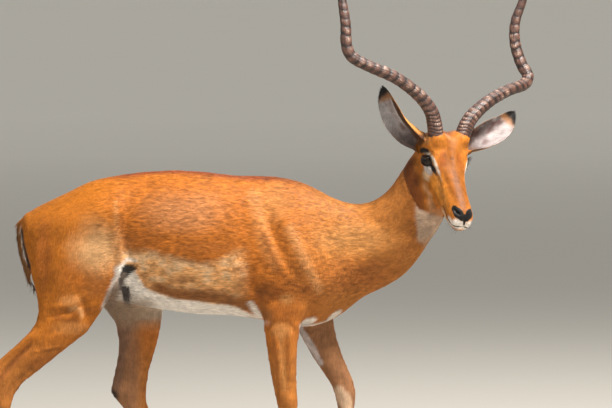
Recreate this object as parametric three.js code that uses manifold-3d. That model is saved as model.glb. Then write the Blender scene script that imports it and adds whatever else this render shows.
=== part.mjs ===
// Life-size, still model of a standing impala ram.
// Sizes are millimetres. +Z is up, the trunk faces +X and the animal's left side is +Y.
// Z = 0 is the floor under the hooves and Y = 0 is the middle plane of the trunk.

import * as THREE from "three";
import Module from "manifold-3d";

const wasm = await Module();
wasm.setup();

// ---- driving sizes -------------------------------------------------------

const GAP = 0.3; // cut left between neighbouring pieces
const BODY_SIDES = 22; // points round the trunk and neck
const HEAD_SIDES = 16; // points round the head
const LEG_SIDES = 12; // points round a leg
const TAIL_SIDES = 8; // points round the tail
const HORN_SIDES = 7; // points round a horn
const RINGS_PER_STATION = 2; // rings drawn for each named station
const FORE_CUT = 485; // height where a foreleg leaves the chest
const HIND_CUT = 528; // height where a hind leg leaves the belly
const CARPUS_CUT = 252; // height of the cut below the front knee
const HOCK_CUT = 262; // height of the cut below the hock
const EYE_RADIUS = 17.5;
const EYE_SPREAD = 57; // middle plane of the head to an eyeball's centre
const EYE_BACK = 3; // how far behind the head's centre the eyes lie
const HORN_RINGS = 20; // raised growth rings on a horn
const RINGED_SHARE = 0.74; // share of a horn's length that carries them
const SMOOTH_STEPS = 6; // sections of a horn's smooth tip
const CLAW_LENGTH = 64; // toe to heel of one claw of a hoof
const CLAW_WIDTH = 21;
const CLAW_HEIGHT = 40;
const CLAW_GAP = 1.2; // middle of a foot to each of its two claws
const TOE_REACH = 13; // how far the claws stand before the pastern
const LEG_ROOM = 650; // distance of a leg cutting box's middle from the trunk's
const LEG_BOX = 1200; // size of that box
const SHANK_BOX = 2600; // size of the box below a hock or knee
const HEAD_BOX = 700; // size of the box that takes the head
const NECK_BOX = 900; // size of the box that takes the neck and head

// The head is turned towards the right side of the animal, lowered and leant over.
const HEAD = {
  centre: new THREE.Vector3(674, -80, 950), // just before the middle of the eyes
  turn: 33, // heading, degrees from the -Y axis towards +X
  pitch: 54, // muzzle below the horizontal
  roll: 6, // crown leant towards +X
};

// Trunk and neck. top and low are the outline points [x, z] of each section,
// half is half its width, widest the height of the greatest width from -1 at
// the low point to 1 at the top, and side and turn bend the neck.
const TRUNK = [
  { top: [-494, 786], low: [-484, 700], half: 16, widest: 0.1, peak: 2, keel: 2 },
  { top: [-486, 800], low: [-474, 662], half: 48, widest: 0.1, peak: 2, keel: 2 },
  { top: [-466, 820], low: [-448, 640], half: 70, widest: 0.1, peak: 2, keel: 2 },
  { top: [-414, 846], low: [-400, 612], half: 90, widest: 0.2, peak: 2.1, keel: 1.9 },
  { top: [-359, 872], low: [-350, 594], half: 98, widest: 0.25, peak: 2, keel: 1.9 },
  { top: [-304, 899], low: [-298, 580], half: 99, widest: 0.3, peak: 1.9, keel: 2 },
  { top: [-240, 914], low: [-240, 565], half: 100, widest: 0.25, peak: 2, keel: 2 },
  { top: [-166, 925], low: [-166, 549], half: 106, widest: 0.05, peak: 2.1, keel: 2.1 },
  { top: [-90, 930], low: [-90, 538], half: 115, widest: -0.1, peak: 2.1, keel: 2.2 },
  { top: [0, 928], low: [0, 527], half: 121, widest: -0.15, peak: 2, keel: 2.2 },
  { top: [90, 917], low: [90, 524], half: 118, widest: -0.15, peak: 1.9, keel: 2.1 },
  { top: [165, 916], low: [172, 512], half: 108, widest: -0.15, peak: 1.7, keel: 2 },
  { top: [221, 912], low: [232, 500], half: 101, widest: -0.1, peak: 1.6, keel: 1.9 },
  { top: [276, 900], low: [296, 493], half: 95, widest: -0.05, peak: 1.6, keel: 1.8 },
  { top: [325, 878], low: [356, 509], half: 89, widest: 0, peak: 1.7, keel: 1.8 },
  { top: [368, 855], low: [404, 536], half: 81, widest: 0.05, peak: 1.8, keel: 1.8 },
  { top: [404, 842], low: [452, 573], half: 73, widest: 0.05, peak: 1.9, keel: 1.9 },
  { top: [438, 838], low: [512, 601], half: 68, widest: 0, peak: 1.9, keel: 2, side: -2, turn: 3 },
  { top: [468, 843], low: [566, 636], half: 65, widest: 0, peak: 1.9, keel: 2, side: -7, turn: 8 },
  { top: [495, 857], low: [600, 676], half: 63, widest: 0, peak: 2, keel: 2, side: -14, turn: 13 },
  { top: [520, 878], low: [623, 712], half: 61, widest: 0, peak: 2, keel: 2, side: -22, turn: 18 },
  { top: [543, 903], low: [641, 743], half: 60, widest: 0, peak: 2, keel: 2, side: -30, turn: 22 },
  { top: [564, 934], low: [656, 772], half: 60, widest: 0, peak: 2, keel: 2, side: -38, turn: 25 },
  { top: [586, 968], low: [672, 808], half: 58, widest: 0.1, peak: 2, keel: 2, side: -44, turn: 28 },
  { top: [614, 1000], low: [684, 868], half: 48, widest: 0.1, peak: 2, keel: 2, side: -50, turn: 30 },
];
const NECK_STATION = 15; // station where the neck leaves the trunk
const HEAD_STATION = 22; // station where the head leaves the neck

// Swells and hollows of the flesh: where [x, z], reach [x, z] and depth, on both sides.
const FORMS = [
  { name: "shoulder blade", at: [258, 770], reach: [46, 95], depth: 13 },
  { name: "point of the shoulder", at: [330, 640], reach: [42, 50], depth: 12 },
  { name: "upper arm", at: [235, 625], reach: [55, 50], depth: 9 },
  { name: "hollow before the shoulder", at: [385, 720], reach: [28, 85], depth: -6 },
  { name: "hollow behind the shoulder", at: [150, 690], reach: [32, 110], depth: -5 },
  { name: "flank hollow", at: [-180, 745], reach: [38, 70], depth: -9 },
  { name: "point of the hip", at: [-262, 812], reach: [36, 36], depth: 9 },
  { name: "haunch", at: [-355, 700], reach: [70, 95], depth: 12 },
];

// Head sections from the back of the skull to the lips: along is the distance
// from the eyes towards the lips, crown and jaw the two outline heights.
const SKULL = [
  { along: -100, crown: 6, jaw: -40, half: 26, widest: 0, peak: 2, keel: 2 },
  { along: -90, crown: 26, jaw: -62, half: 45, widest: 0.2, peak: 2.2, keel: 2 },
  { along: -70, crown: 42, jaw: -80, half: 57, widest: 0.3, peak: 2.6, keel: 1.9 },
  { along: -45, crown: 49, jaw: -91, half: 61, widest: 0.4, peak: 2.8, keel: 1.8 },
  { along: -20, crown: 47, jaw: -96, half: 63, widest: 0.4, peak: 2.8, keel: 1.7 },
  { along: 0, crown: 43, jaw: -95, half: 63, widest: 0.35, peak: 2.6, keel: 1.7 },
  { along: 22, crown: 40, jaw: -89, half: 59, widest: 0.3, peak: 2.4, keel: 1.7 },
  { along: 46, crown: 38, jaw: -78, half: 51, widest: 0.2, peak: 2.2, keel: 1.8 },
  { along: 72, crown: 37, jaw: -67, half: 43, widest: 0.1, peak: 2.2, keel: 2.1 },
  { along: 100, crown: 36.5, jaw: -59, half: 37.5, widest: 0, peak: 2.3, keel: 2.4 },
  { along: 128, crown: 36, jaw: -55, half: 35, widest: 0, peak: 2.5, keel: 2.6 },
  { along: 153, crown: 35, jaw: -49, half: 34, widest: 0, peak: 2.6, keel: 2.5 },
  { along: 174, crown: 32, jaw: -42, half: 34, widest: 0, peak: 2.6, keel: 2.3 },
  { along: 191, crown: 25, jaw: -37, half: 30, widest: 0, peak: 2.4, keel: 2.2 },
  { along: 201, crown: 14, jaw: -32, half: 23, widest: -0.1, peak: 2.2, keel: 2.1 },
  { along: 207, crown: 0, jaw: -25, half: 12, widest: 0, peak: 2, keel: 2 },
];

// Legs from the hip or shoulder down to the pastern. front and rear are outline
// points [x, z]; side is the distance of the middle from Y = 0.
const LEGS = {
  hind_leg_right: {
    sign: -1,
    cut: HIND_CUT,
    shank: HOCK_CUT,
    stations: [
      { front: [-225, 800], rear: [-430, 790], side: 52, half: 40 },
      { front: [-198, 720], rear: [-474, 712], side: 60, half: 50 },
      { front: [-206, 655], rear: [-469, 640], side: 63, half: 49 },
      { front: [-226, 605], rear: [-454, 590], side: 64, half: 45 },
      { front: [-250, 563], rear: [-446, 545], side: 66, half: 39 },
      { front: [-277, 525], rear: [-452, 512], side: 67, half: 34 },
      { front: [-306, 485], rear: [-466, 489], side: 68, half: 30 },
      { front: [-352, 449], rear: [-480, 474], side: 69, half: 27 },
      { front: [-400, 411], rear: [-500, 455], side: 70, half: 23 },
      { front: [-446, 374], rear: [-526, 431], side: 71, half: 20 },
      { front: [-484, 344], rear: [-553, 409], side: 72, half: 19 },
      { front: [-507, 312], rear: [-574, 390], side: 73, half: 20 },
      { front: [-518, 275], rear: [-577, 326], side: 74, half: 19 },
      { front: [-532, 236], rear: [-579, 256], side: 75, half: 16 },
      { front: [-550, 176], rear: [-591, 190], side: 76, half: 14.5 },
      { front: [-568, 125], rear: [-608, 132], side: 77, half: 15 },
      { front: [-571, 100], rear: [-622, 94], side: 78, half: 18 },
      { front: [-560, 66], rear: [-602, 56], side: 79, half: 16 },
      { front: [-545, 38], rear: [-592, 26], side: 80, half: 19 },
    ],
  },
  hind_leg_left: {
    sign: 1,
    cut: HIND_CUT,
    shank: HOCK_CUT - 4,
    stations: [
      { front: [-195, 800], rear: [-415, 790], side: 52, half: 40 },
      { front: [-138, 715], rear: [-440, 712], side: 60, half: 49 },
      { front: [-102, 648], rear: [-408, 645], side: 63, half: 47 },
      { front: [-92, 600], rear: [-345, 596], side: 64, half: 43 },
      { front: [-97, 550], rear: [-275, 548], side: 66, half: 38 },
      { front: [-109, 496], rear: [-238, 500], side: 67, half: 32 },
      { front: [-119, 446], rear: [-229, 452], side: 69, half: 28 },
      { front: [-131, 405], rear: [-231, 410], side: 70, half: 24 },
      { front: [-143, 365], rear: [-238, 374], side: 71, half: 21 },
      { front: [-148, 328], rear: [-246, 340], side: 72, half: 20 },
      { front: [-151, 290], rear: [-252, 306], side: 73, half: 20 },
      { front: [-143, 252], rear: [-212, 256], side: 74, half: 18 },
      { front: [-128, 212], rear: [-172, 205], side: 75, half: 15 },
      { front: [-108, 160], rear: [-149, 148], side: 76, half: 14.5 },
      { front: [-90, 118], rear: [-133, 104], side: 77, half: 16 },
      { front: [-78, 98], rear: [-128, 80], side: 78, half: 18 },
      { front: [-66, 66], rear: [-106, 50], side: 79, half: 16 },
      { front: [-50, 38], rear: [-98, 26], side: 80, half: 19 },
    ],
  },
  fore_leg_right: {
    sign: -1,
    cut: FORE_CUT,
    shank: CARPUS_CUT,
    stations: [
      { front: [318, 660], rear: [190, 660], side: 52, half: 36 },
      { front: [318, 595], rear: [170, 600], side: 58, half: 38 },
      { front: [298, 540], rear: [169, 548], side: 62, half: 35 },
      { front: [279, 500], rear: [174, 508], side: 65, half: 30 },
      { front: [271, 455], rear: [181, 462], side: 66, half: 27 },
      { front: [268, 405], rear: [188, 412], side: 66, half: 24 },
      { front: [267, 358], rear: [196, 362], side: 66, half: 21 },
      { front: [269, 318], rear: [205, 318], side: 66, half: 20 },
      { front: [272, 288], rear: [212, 288], side: 66, half: 22 },
      { front: [267, 258], rear: [219, 256], side: 66, half: 19 },
      { front: [261, 218], rear: [222, 216], side: 66, half: 15 },
      { front: [259, 165], rear: [221, 162], side: 66, half: 14 },
      { front: [260, 120], rear: [217, 116], side: 66, half: 15.5 },
      { front: [264, 96], rear: [211, 86], side: 66, half: 18 },
      { front: [272, 62], rear: [231, 50], side: 67, half: 16 },
      { front: [285, 38], rear: [238, 26], side: 68, half: 19 },
    ],
  },
  fore_leg_left: {
    sign: 1,
    cut: FORE_CUT,
    shank: CARPUS_CUT + 6,
    stations: [
      { front: [338, 660], rear: [205, 660], side: 52, half: 36 },
      { front: [362, 590], rear: [215, 600], side: 58, half: 38 },
      { front: [370, 540], rear: [235, 545], side: 62, half: 35 },
      { front: [371, 502], rear: [260, 498], side: 65, half: 30 },
      { front: [379, 456], rear: [284, 452], side: 66, half: 27 },
      { front: [394, 412], rear: [311, 404], side: 66, half: 24 },
      { front: [411, 372], rear: [338, 364], side: 66, half: 21 },
      { front: [425, 338], rear: [361, 330], side: 66, half: 20 },
      { front: [432, 308], rear: [373, 298], side: 66, half: 22 },
      { front: [429, 276], rear: [379, 268], side: 66, half: 19 },
      { front: [428, 228], rear: [389, 222], side: 66, half: 15 },
      { front: [434, 170], rear: [396, 164], side: 66, half: 14 },
      { front: [443, 122], rear: [400, 116], side: 66, half: 15.5 },
      { front: [450, 97], rear: [398, 86], side: 66, half: 18 },
      { front: [461, 62], rear: [420, 50], side: 67, half: 16 },
      { front: [475, 38], rear: [428, 26], side: 68, half: 19 },
    ],
  },
};

const TAIL = [
  { front: [-470, 806], rear: [-486, 800], side: 0, half: 13 },
  { front: [-484, 780], rear: [-504, 784], side: 0, half: 13 },
  { front: [-487, 748], rear: [-507, 748], side: 0, half: 15 },
  { front: [-483, 706], rear: [-501, 704], side: 0, half: 16 },
  { front: [-473, 664], rear: [-490, 662], side: 0, half: 15 },
  { front: [-460, 624], rear: [-475, 621], side: 0, half: 13 },
  { front: [-449, 592], rear: [-459, 590], side: 0, half: 8 },
];

// Horn centre lines [x, y, z] from inside the skull to the tip.
const HORNS = {
  horn_right: [
    [652, -106, 994],
    [647, -110, 1020],
    [643, -113, 1058],
    [632, -119, 1095],
    [597, -131, 1139],
    [536, -148, 1184],
    [464, -162, 1216],
    [419, -168, 1240],
    [403, -166, 1272],
    [400, -156, 1330],
    [391, -140, 1396],
    [384, -124, 1462],
    [381, -110, 1528],
    [384, -100, 1590],
  ],
  horn_left: [
    [710, -66, 998],
    [721, -60, 1024],
    [735, -48, 1056],
    [756, -30, 1083],
    [799, 12, 1118],
    [856, 70, 1147],
    [897, 116, 1160],
    [911, 140, 1184],
    [892, 154, 1222],
    [876, 166, 1278],
    [878, 178, 1336],
    [899, 188, 1396],
    [915, 192, 1462],
    [922, 190, 1528],
    [919, 184, 1588],
  ],
};
// Horn thickness at equal steps of its length, root to tip.
const HORN_RADII = [22, 21, 18.5, 17.2, 16.8, 16.4, 16, 15.2, 13.6, 11.6, 9.2, 6.4, 3];
const RIDGE = 1.5; // height of a growth ring over the horn

// Ears: middle line [x, y, z] from root to tip, the way the hollow faces and the share of
// the full width at the root.
const EARS = {
  ear_right: {
    line: [
      [604, -84, 1010],
      [570, -94, 1036],
      [540, -104, 1069],
      [519, -114, 1111],
      [503, -124, 1160],
    ],
    faces: [-0.46, -0.8, -0.37],
    rootWidth: 0.62,
  },
  ear_left: {
    line: [
      [738, -30, 996],
      [786, -2, 1024],
      [829, 22, 1051],
      [865, 42, 1088],
    ],
    faces: [0.12, -0.97, 0.2],
    rootWidth: 0.45,
  },
};
const EAR_HALF_WIDTH = 37;
const EAR_TIP_WIDTH = 0.45; // share of the full width that the taper to the tip aims at
const EAR_WIDEST = 0.42; // share of the length where the ear is widest
const EAR_THICKNESS = 4.5;
const EAR_STEPS = 8;
const EAR_SLICES = 6;

// ---- helpers ---------------------------------------------------------------

const rad = THREE.MathUtils.degToRad;

/** Turns a closed triangle list into a solid that faces outwards. */
function solid(points, faces) {
  let volume = 0;
  for (const [a, b, c] of faces) {
    const cross = new THREE.Vector3().crossVectors(points[b], points[c]);
    volume += points[a].dot(cross) / 6;
  }
  const order = volume < 0 ? [0, 2, 1] : [0, 1, 2];
  const vertProperties = new Float32Array(points.flatMap((p) => [p.x, p.y, p.z]));
  const triVerts = new Uint32Array(faces.flatMap((f) => order.map((k) => f[k])));
  return new wasm.Manifold(new wasm.Mesh({ numProp: 3, vertProperties, triVerts }));
}

/** Faces that close a ring by a fan from its middle, which is added to points. */
function fanCap(points, first, count) {
  const centre = new THREE.Vector3();
  for (let i = 0; i < count; i++) centre.addScaledVector(points[first + i], 1 / count);
  const middle = points.push(centre) - 1;
  return Array.from({ length: count }, (_, i) => [middle, first + i, first + ((i + 1) % count)]);
}

/** Faces that close a ring made of one line of points there and one back. */
function stripCap(points, first, count) {
  const faces = [];
  for (let i = 0; i + 1 < count / 2; i++) {
    const a = first + i;
    const d = first + count - 1 - i;
    faces.push([a, a + 1, d - 1], [a, d - 1, d]);
  }
  return faces;
}

/** Solid through rings of equal point counts, closed by a cap at each end. */
function loft(rings, cap = fanCap) {
  const count = rings[0].length;
  const points = rings.flat();
  const faces = [];
  for (let r = 0; r + 1 < rings.length; r++) {
    for (let i = 0; i < count; i++) {
      const j = (i + 1) % count;
      const a = r * count + i;
      const b = r * count + j;
      faces.push([a, b, b + count], [a, b + count, a + count]);
    }
  }
  const last = (rings.length - 1) * count;
  faces.push(...cap(points, 0, count).map(([a, b, c]) => [a, c, b]));
  faces.push(...cap(points, last, count));
  return solid(points, faces);
}

/** Catmull-Rom blend of four numbers. */
function blend(a, b, c, d, t) {
  const square = t * t;
  const cube = square * t;
  return 0.5 * (2 * b + (c - a) * t + (2 * a - 5 * b + 4 * c - d) * square
    + (3 * b - a - 3 * c + d) * cube);
}

/** Blends a field of four stations, a number or a list of numbers. */
function blendField(four, name, t) {
  const values = four.map((s) => s[name] ?? 0);
  if (Array.isArray(values[1])) {
    return values[1].map((_, k) => blend(...values.map((v) => v[k]), t));
  }
  return blend(...values, t);
}

/** Fills in stations between the named ones, perStation for each. */
function refine(stations, perStation) {
  const names = [...new Set(stations.flatMap((s) => Object.keys(s)))];
  const result = [];
  for (let i = 0; i + 1 < stations.length; i++) {
    const four = [i - 1, i, i + 1, i + 2].map(
      (k) => stations[Math.min(Math.max(k, 0), stations.length - 1)],
    );
    for (let k = 0; k < perStation; k++) {
      const t = k / perStation;
      result.push(Object.fromEntries(names.map((n) => [n, blendField(four, n, t)])));
    }
  }
  result.push(stations[stations.length - 1]);
  return result;
}

/** Share of the half width left at height v of a section, v from -1 to 1. */
function fullness(v, widest, peak, keel) {
  const reach = v > widest ? (v - widest) / (1 - widest) : (widest - v) / (1 + widest);
  return Math.sqrt(Math.max(0, 1 - Math.min(1, reach) ** (v > widest ? peak : keel)));
}

/** Ring of points from its middle, its two half axes and its shape. */
function ring(middle, up, across, sides, { widest = 0, peak = 2, keel = 2 }) {
  return Array.from({ length: sides }, (_, i) => {
    const angle = (2 * Math.PI * i) / sides;
    const v = Math.cos(angle);
    const share = Math.sign(Math.sin(angle)) * fullness(v, widest, peak, keel);
    return middle.clone().addScaledVector(up, v).addScaledVector(across, share);
  });
}

/** Extra half width that the named swells and hollows give at a point. */
function relief(p) {
  return FORMS.reduce((sum, { at, reach, depth }) => {
    const u = (p.x - at[0]) / reach[0];
    const w = (p.z - at[1]) / reach[1];
    return sum + depth * Math.exp(-0.5 * (u * u + w * w));
  }, 0);
}

/** Box that stands for everything beyond a plane, as far as size reaches. */
function beyond(point, normal, size) {
  const direction = normal.clone().normalize();
  const spin = new THREE.Quaternion().setFromUnitVectors(new THREE.Vector3(0, 0, 1), direction);
  const centre = point.clone().addScaledVector(direction, size / 2);
  const corners = [];
  for (const sx of [-1, 1]) {
    for (const sy of [-1, 1]) {
      for (const sz of [-1, 1]) {
        corners.push(new THREE.Vector3(sx, sy, sz).multiplyScalar(size / 2)
          .applyQuaternion(spin).add(centre));
      }
    }
  }
  const quads = [[0, 1, 3, 2], [4, 6, 7, 5], [0, 4, 5, 1], [2, 3, 7, 6], [0, 2, 6, 4], [1, 5, 7, 3]];
  const faces = quads.flatMap(([a, b, c, d]) => [[a, b, c], [a, c, d]]);
  return solid(corners, faces);
}

/** Cuts a body in two along a plane: the piece beyond it and the piece before it. */
function part(body, point, normal, size) {
  const unit = normal.clone().normalize();
  const half = GAP / 2;
  const far = body.intersect(beyond(point.clone().addScaledVector(unit, half), unit, size));
  const near = body.subtract(beyond(point.clone().addScaledVector(unit, -half), unit, size));
  return { far, near };
}

// ---- head directions ---------------------------------------------------------

/** Unit vectors of the head: along the muzzle, to its left and up from the face. */
function headAxes() {
  const heading = new THREE.Vector3(Math.sin(rad(HEAD.turn)), -Math.cos(rad(HEAD.turn)), 0);
  const left = new THREE.Vector3(0, 0, 1).cross(heading);
  const along = heading.clone().multiplyScalar(Math.cos(rad(HEAD.pitch)));
  along.z = -Math.sin(rad(HEAD.pitch));
  const up = heading.clone().multiplyScalar(Math.sin(rad(HEAD.pitch)));
  up.z = Math.cos(rad(HEAD.pitch));
  const roll = new THREE.Quaternion().setFromAxisAngle(new THREE.Vector3(0, 1, 0), rad(HEAD.roll));
  for (const axis of [along, left, up]) axis.applyQuaternion(roll);
  return { along, left, up };
}

const AXES = headAxes();

/** World point of a place on the head measured from its centre. */
function headPoint([along, left, up]) {
  return HEAD.centre.clone().addScaledVector(AXES.along, along)
    .addScaledVector(AXES.left, left).addScaledVector(AXES.up, up);
}

// ---- flesh -------------------------------------------------------------------

/** Trunk and neck as one solid. */
function trunkAndNeck() {
  const rings = refine(TRUNK, RINGS_PER_STATION).map((s) => {
    const across = [s.top[0] - s.low[0], s.top[1] - s.low[1]];
    const lean = -Math.tan(rad(s.turn ?? 0)) * across[0];
    const up = new THREE.Vector3(across[0] / 2, lean / 2, across[1] / 2);
    const middle = new THREE.Vector3(
      (s.top[0] + s.low[0]) / 2,
      s.side ?? 0,
      (s.top[1] + s.low[1]) / 2,
    );
    const left = new THREE.Vector3(Math.sin(rad(s.turn ?? 0)), Math.cos(rad(s.turn ?? 0)), 0);
    const points = ring(middle, up, left.clone().multiplyScalar(s.half), BODY_SIDES, s);
    for (const p of points) {
      const offset = p.clone().sub(middle).dot(left);
      const share = offset / s.half;
      p.addScaledVector(left, relief(p) * Math.sign(offset) * Math.min(1, Math.abs(share) * 1.3));
    }
    return points;
  });
  return loft(rings);
}

/** Head without ears, eyes or horns, every section larger by grow. */
function headFlesh(grow) {
  const rings = refine(SKULL, RINGS_PER_STATION).map((s) => {
    const middle = headPoint([s.along, 0, (s.crown + s.jaw) / 2]);
    const up = AXES.up.clone().multiplyScalar((s.crown - s.jaw) / 2 + grow);
    const across = AXES.left.clone().multiplyScalar(s.half + grow);
    const points = ring(middle, up, across, HEAD_SIDES, s);
    for (const p of points) {
      const local = p.clone().sub(HEAD.centre);
      const lateral = local.dot(AXES.left);
      const swell = faceRelief(s.along, local.dot(AXES.up));
      const share = Math.min(1, Math.abs(lateral) / s.half);
      p.addScaledVector(AXES.left, Math.sign(lateral) * swell * share);
    }
    return points;
  });
  return loft(rings);
}

/** Extra half width of the brow, cheek and lips at a place on the face. */
function faceRelief(along, up) {
  const bump = (atAlong, atUp, reachAlong, reachUp, depth) => {
    const u = (along - atAlong) / reachAlong;
    const w = (up - atUp) / reachUp;
    return depth * Math.exp(-0.5 * (u * u + w * w));
  };
  return bump(-8, 8, 22, 20, 13) // rim of the eye socket
    + bump(-70, 24, 22, 22, 11) // gristle at the root of the ear
    + bump(-2, -58, 30, 24, 4) // cheek muscle
    + bump(60, -5, 24, 22, -3) // hollow before the eye
    + bump(180, 12, 12, 14, 2); // wing of the nostril
}

/** One leg from inside the trunk to inside its hooves, larger by grow. */
function legFlesh({ sign, stations }, grow = 0) {
  const rings = refine(stations, 1).map((s) => {
    const dx = s.front[0] - s.rear[0];
    const dz = s.front[1] - s.rear[1];
    const length = Math.hypot(dx, dz);
    const scale = (length / 2 + grow) / length;
    const middle = new THREE.Vector3(
      (s.front[0] + s.rear[0]) / 2,
      sign * s.side,
      (s.front[1] + s.rear[1]) / 2,
    );
    const up = new THREE.Vector3(dx * scale, 0, dz * scale);
    const across = new THREE.Vector3(0, s.half + grow, 0);
    return ring(middle, up, across, LEG_SIDES, { peak: 2.2, keel: 2.2 });
  });
  return loft(rings);
}

/** Tail hanging close behind the thighs. */
function tailFlesh(grow) {
  const rings = TAIL.map((s) => {
    const middle = new THREE.Vector3(
      (s.front[0] + s.rear[0]) / 2,
      s.side,
      (s.front[1] + s.rear[1]) / 2,
    );
    const reach = Math.hypot(s.front[0] - s.rear[0], s.front[1] - s.rear[1]) / 2 + grow;
    const up = new THREE.Vector3(s.front[0] - s.rear[0], 0, s.front[1] - s.rear[1]).setLength(reach);
    return ring(middle, up, new THREE.Vector3(0, s.half + grow, 0), TAIL_SIDES, {});
  });
  return loft(rings);
}

// ---- eyes, ears, horns, hooves -----------------------------------------------

/** Eyeball as a solid ball, larger by grow. */
function eyeball(side, grow) {
  const ball = new THREE.SphereGeometry(EYE_RADIUS + grow, 12, 8);
  const centre = headPoint([-EYE_BACK, side * EYE_SPREAD, 0]);
  const position = ball.getAttribute("position");
  const points = [];
  const index = new Map();
  const lookup = [];
  for (let i = 0; i < position.count; i++) {
    const p = new THREE.Vector3().fromBufferAttribute(position, i);
    const key = [p.x, p.y, p.z].map((c) => Math.round(c * 1000)).join();
    if (!index.has(key)) {
      index.set(key, points.length);
      points.push(p.add(centre));
    }
    lookup.push(index.get(key));
  }
  const faces = [];
  const raw = ball.getIndex().array;
  for (let i = 0; i < raw.length; i += 3) {
    const face = [lookup[raw[i]], lookup[raw[i + 1]], lookup[raw[i + 2]]];
    if (new Set(face).size === 3) faces.push(face);
  }
  ball.dispose();
  return solid(points, faces);
}

/** Half width of an ear at a share of its length. */
function earHalfWidth(share, rootWidth) {
  const least = share < EAR_WIDEST ? rootWidth : EAR_TIP_WIDTH;
  const base = least + (1 - least) * Math.sin(Math.PI * Math.min(1, share * 0.9 + 0.12));
  return EAR_HALF_WIDTH * base * Math.sqrt(Math.max(0.01, 1 - share ** 5));
}

/** Leaf-shaped ear, cupped towards the way it faces and rolled at its root. */
function ear({ line, faces, rootWidth }) {
  const curve = new THREE.CatmullRomCurve3(line.map((p) => new THREE.Vector3(...p)));
  const rings = [];
  for (let i = 0; i <= EAR_STEPS; i++) {
    const share = i / EAR_STEPS;
    const axis = curve.getTangentAt(share);
    const across = new THREE.Vector3(...faces).cross(axis).normalize();
    const hollow = new THREE.Vector3().crossVectors(axis, across).normalize();
    const arc = rad(THREE.MathUtils.lerp(125, 48, Math.min(1, share * 1.6)));
    const radius = earHalfWidth(share, rootWidth) / Math.sin(Math.min(arc, Math.PI / 2));
    const middle = curve.getPointAt(share)
      .addScaledVector(hollow, (radius * (1 + Math.cos(arc))) / 2);
    const outer = [];
    const inner = [];
    for (let k = 0; k <= EAR_SLICES; k++) {
      const place = (2 * k) / EAR_SLICES - 1;
      const angle = arc * place;
      const thick = EAR_THICKNESS * (1 - 0.4 * share) * (1 - 0.5 * place ** 4);
      for (const [list, r] of [[outer, radius], [inner, radius - thick]]) {
        list.push(middle.clone().addScaledVector(across, Math.sin(angle) * r)
          .addScaledVector(hollow, -Math.cos(angle) * r));
      }
    }
    rings.push([...outer, ...inner.reverse()]);
  }
  return loft(rings, stripCap);
}

/** Radius of a horn at a share of its length, without its growth rings. */
function hornRadius(share) {
  const place = Math.min(share, 0.9999) * (HORN_RADII.length - 1);
  const i = Math.floor(place);
  return THREE.MathUtils.lerp(HORN_RADII[i], HORN_RADII[i + 1], place - i);
}

/** Ringed horn along its centre line, larger by grow. */
function horn(line, grow) {
  const curve = new THREE.CatmullRomCurve3(line.map((p) => new THREE.Vector3(...p)));
  const shares = [];
  for (let i = 0; i < HORN_RINGS * 2; i++) {
    shares.push({ share: (RINGED_SHARE * i) / (HORN_RINGS * 2), raised: i % 2 });
  }
  for (let i = 0; i <= SMOOTH_STEPS; i++) {
    shares.push({ share: THREE.MathUtils.lerp(RINGED_SHARE, 1, i / SMOOTH_STEPS), raised: 0 });
  }
  let across = new THREE.Vector3(0, 1, 0);
  const rings = shares.map(({ share, raised }) => {
    const centre = curve.getPointAt(share);
    const tangent = curve.getTangentAt(share);
    across = across.clone().addScaledVector(tangent, -across.dot(tangent)).normalize();
    const other = new THREE.Vector3().crossVectors(tangent, across);
    const radius = hornRadius(share) + raised * RIDGE + grow;
    return ring(centre, across.clone().multiplyScalar(radius), other.multiplyScalar(radius),
      HORN_SIDES, {});
  });
  return loft(rings);
}

/** One claw of a hoof, flat on the floor; side is -1 or 1 across the foot. */
function claw(toe, middle, side) {
  const levels = [
    { height: 0, back: 1, front: 0, width: 1 },
    { height: 6, back: 1.02, front: 0, width: 1.03 },
    { height: 22, back: 0.98, front: 0.13, width: 0.98 },
    { height: CLAW_HEIGHT, back: 0.92, front: 0.32, width: 0.78 },
  ];
  const outline = [
    [0, 0.14], [0.12, 0.55], [0.4, 0.96], [0.75, 0.95], [1, 0.5],
    [1, 0.14], [0.65, 0.04], [0.2, 0.04],
  ];
  const rings = levels.map(({ height, back, front, width }) => outline.map(([u, w]) => {
    const reach = THREE.MathUtils.lerp(front, back, u) * CLAW_LENGTH;
    const y = middle + side * (CLAW_GAP + w * width * CLAW_WIDTH);
    return new THREE.Vector3(toe - reach, y, height);
  }));
  return loft(rings);
}

// ---- parts ---------------------------------------------------------------------

const root = new THREE.Group();
root.name = "impala";

/** Adds a solid to the model as one named mesh. */
function add(name, body, colour, roughness) {
  const mesh = body.getMesh();
  const geometry = new THREE.BufferGeometry();
  const positions = [];
  for (let i = 0; i < mesh.vertProperties.length; i += mesh.numProp) {
    positions.push(...mesh.vertProperties.slice(i, i + 3));
  }
  geometry.setAttribute("position", new THREE.Float32BufferAttribute(positions, 3));
  geometry.setIndex([...mesh.triVerts]);
  geometry.computeVertexNormals();
  const material = new THREE.MeshStandardMaterial({ color: colour, roughness, metalness: 0 });
  const node = new THREE.Mesh(geometry, material);
  node.name = name;
  root.add(node);
}

const COAT = 0xb8692c;
const HORN_COLOUR = 0x3a2c28;
const HOOF_COLOUR = 0x1d1a19;
const EYE_COLOUR = 0x120c0a;

const horns = Object.entries(HORNS);
const eyes = { eye_right: -1, eye_left: 1 };

let body = trunkAndNeck().add(headFlesh(0));
for (const leg of Object.values(LEGS)) body = body.add(legFlesh(leg));
for (const [, line] of horns) body = body.subtract(horn(line, GAP));
for (const side of Object.values(eyes)) body = body.subtract(eyeball(side, GAP));
body = body.subtract(tailFlesh(GAP));

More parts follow.
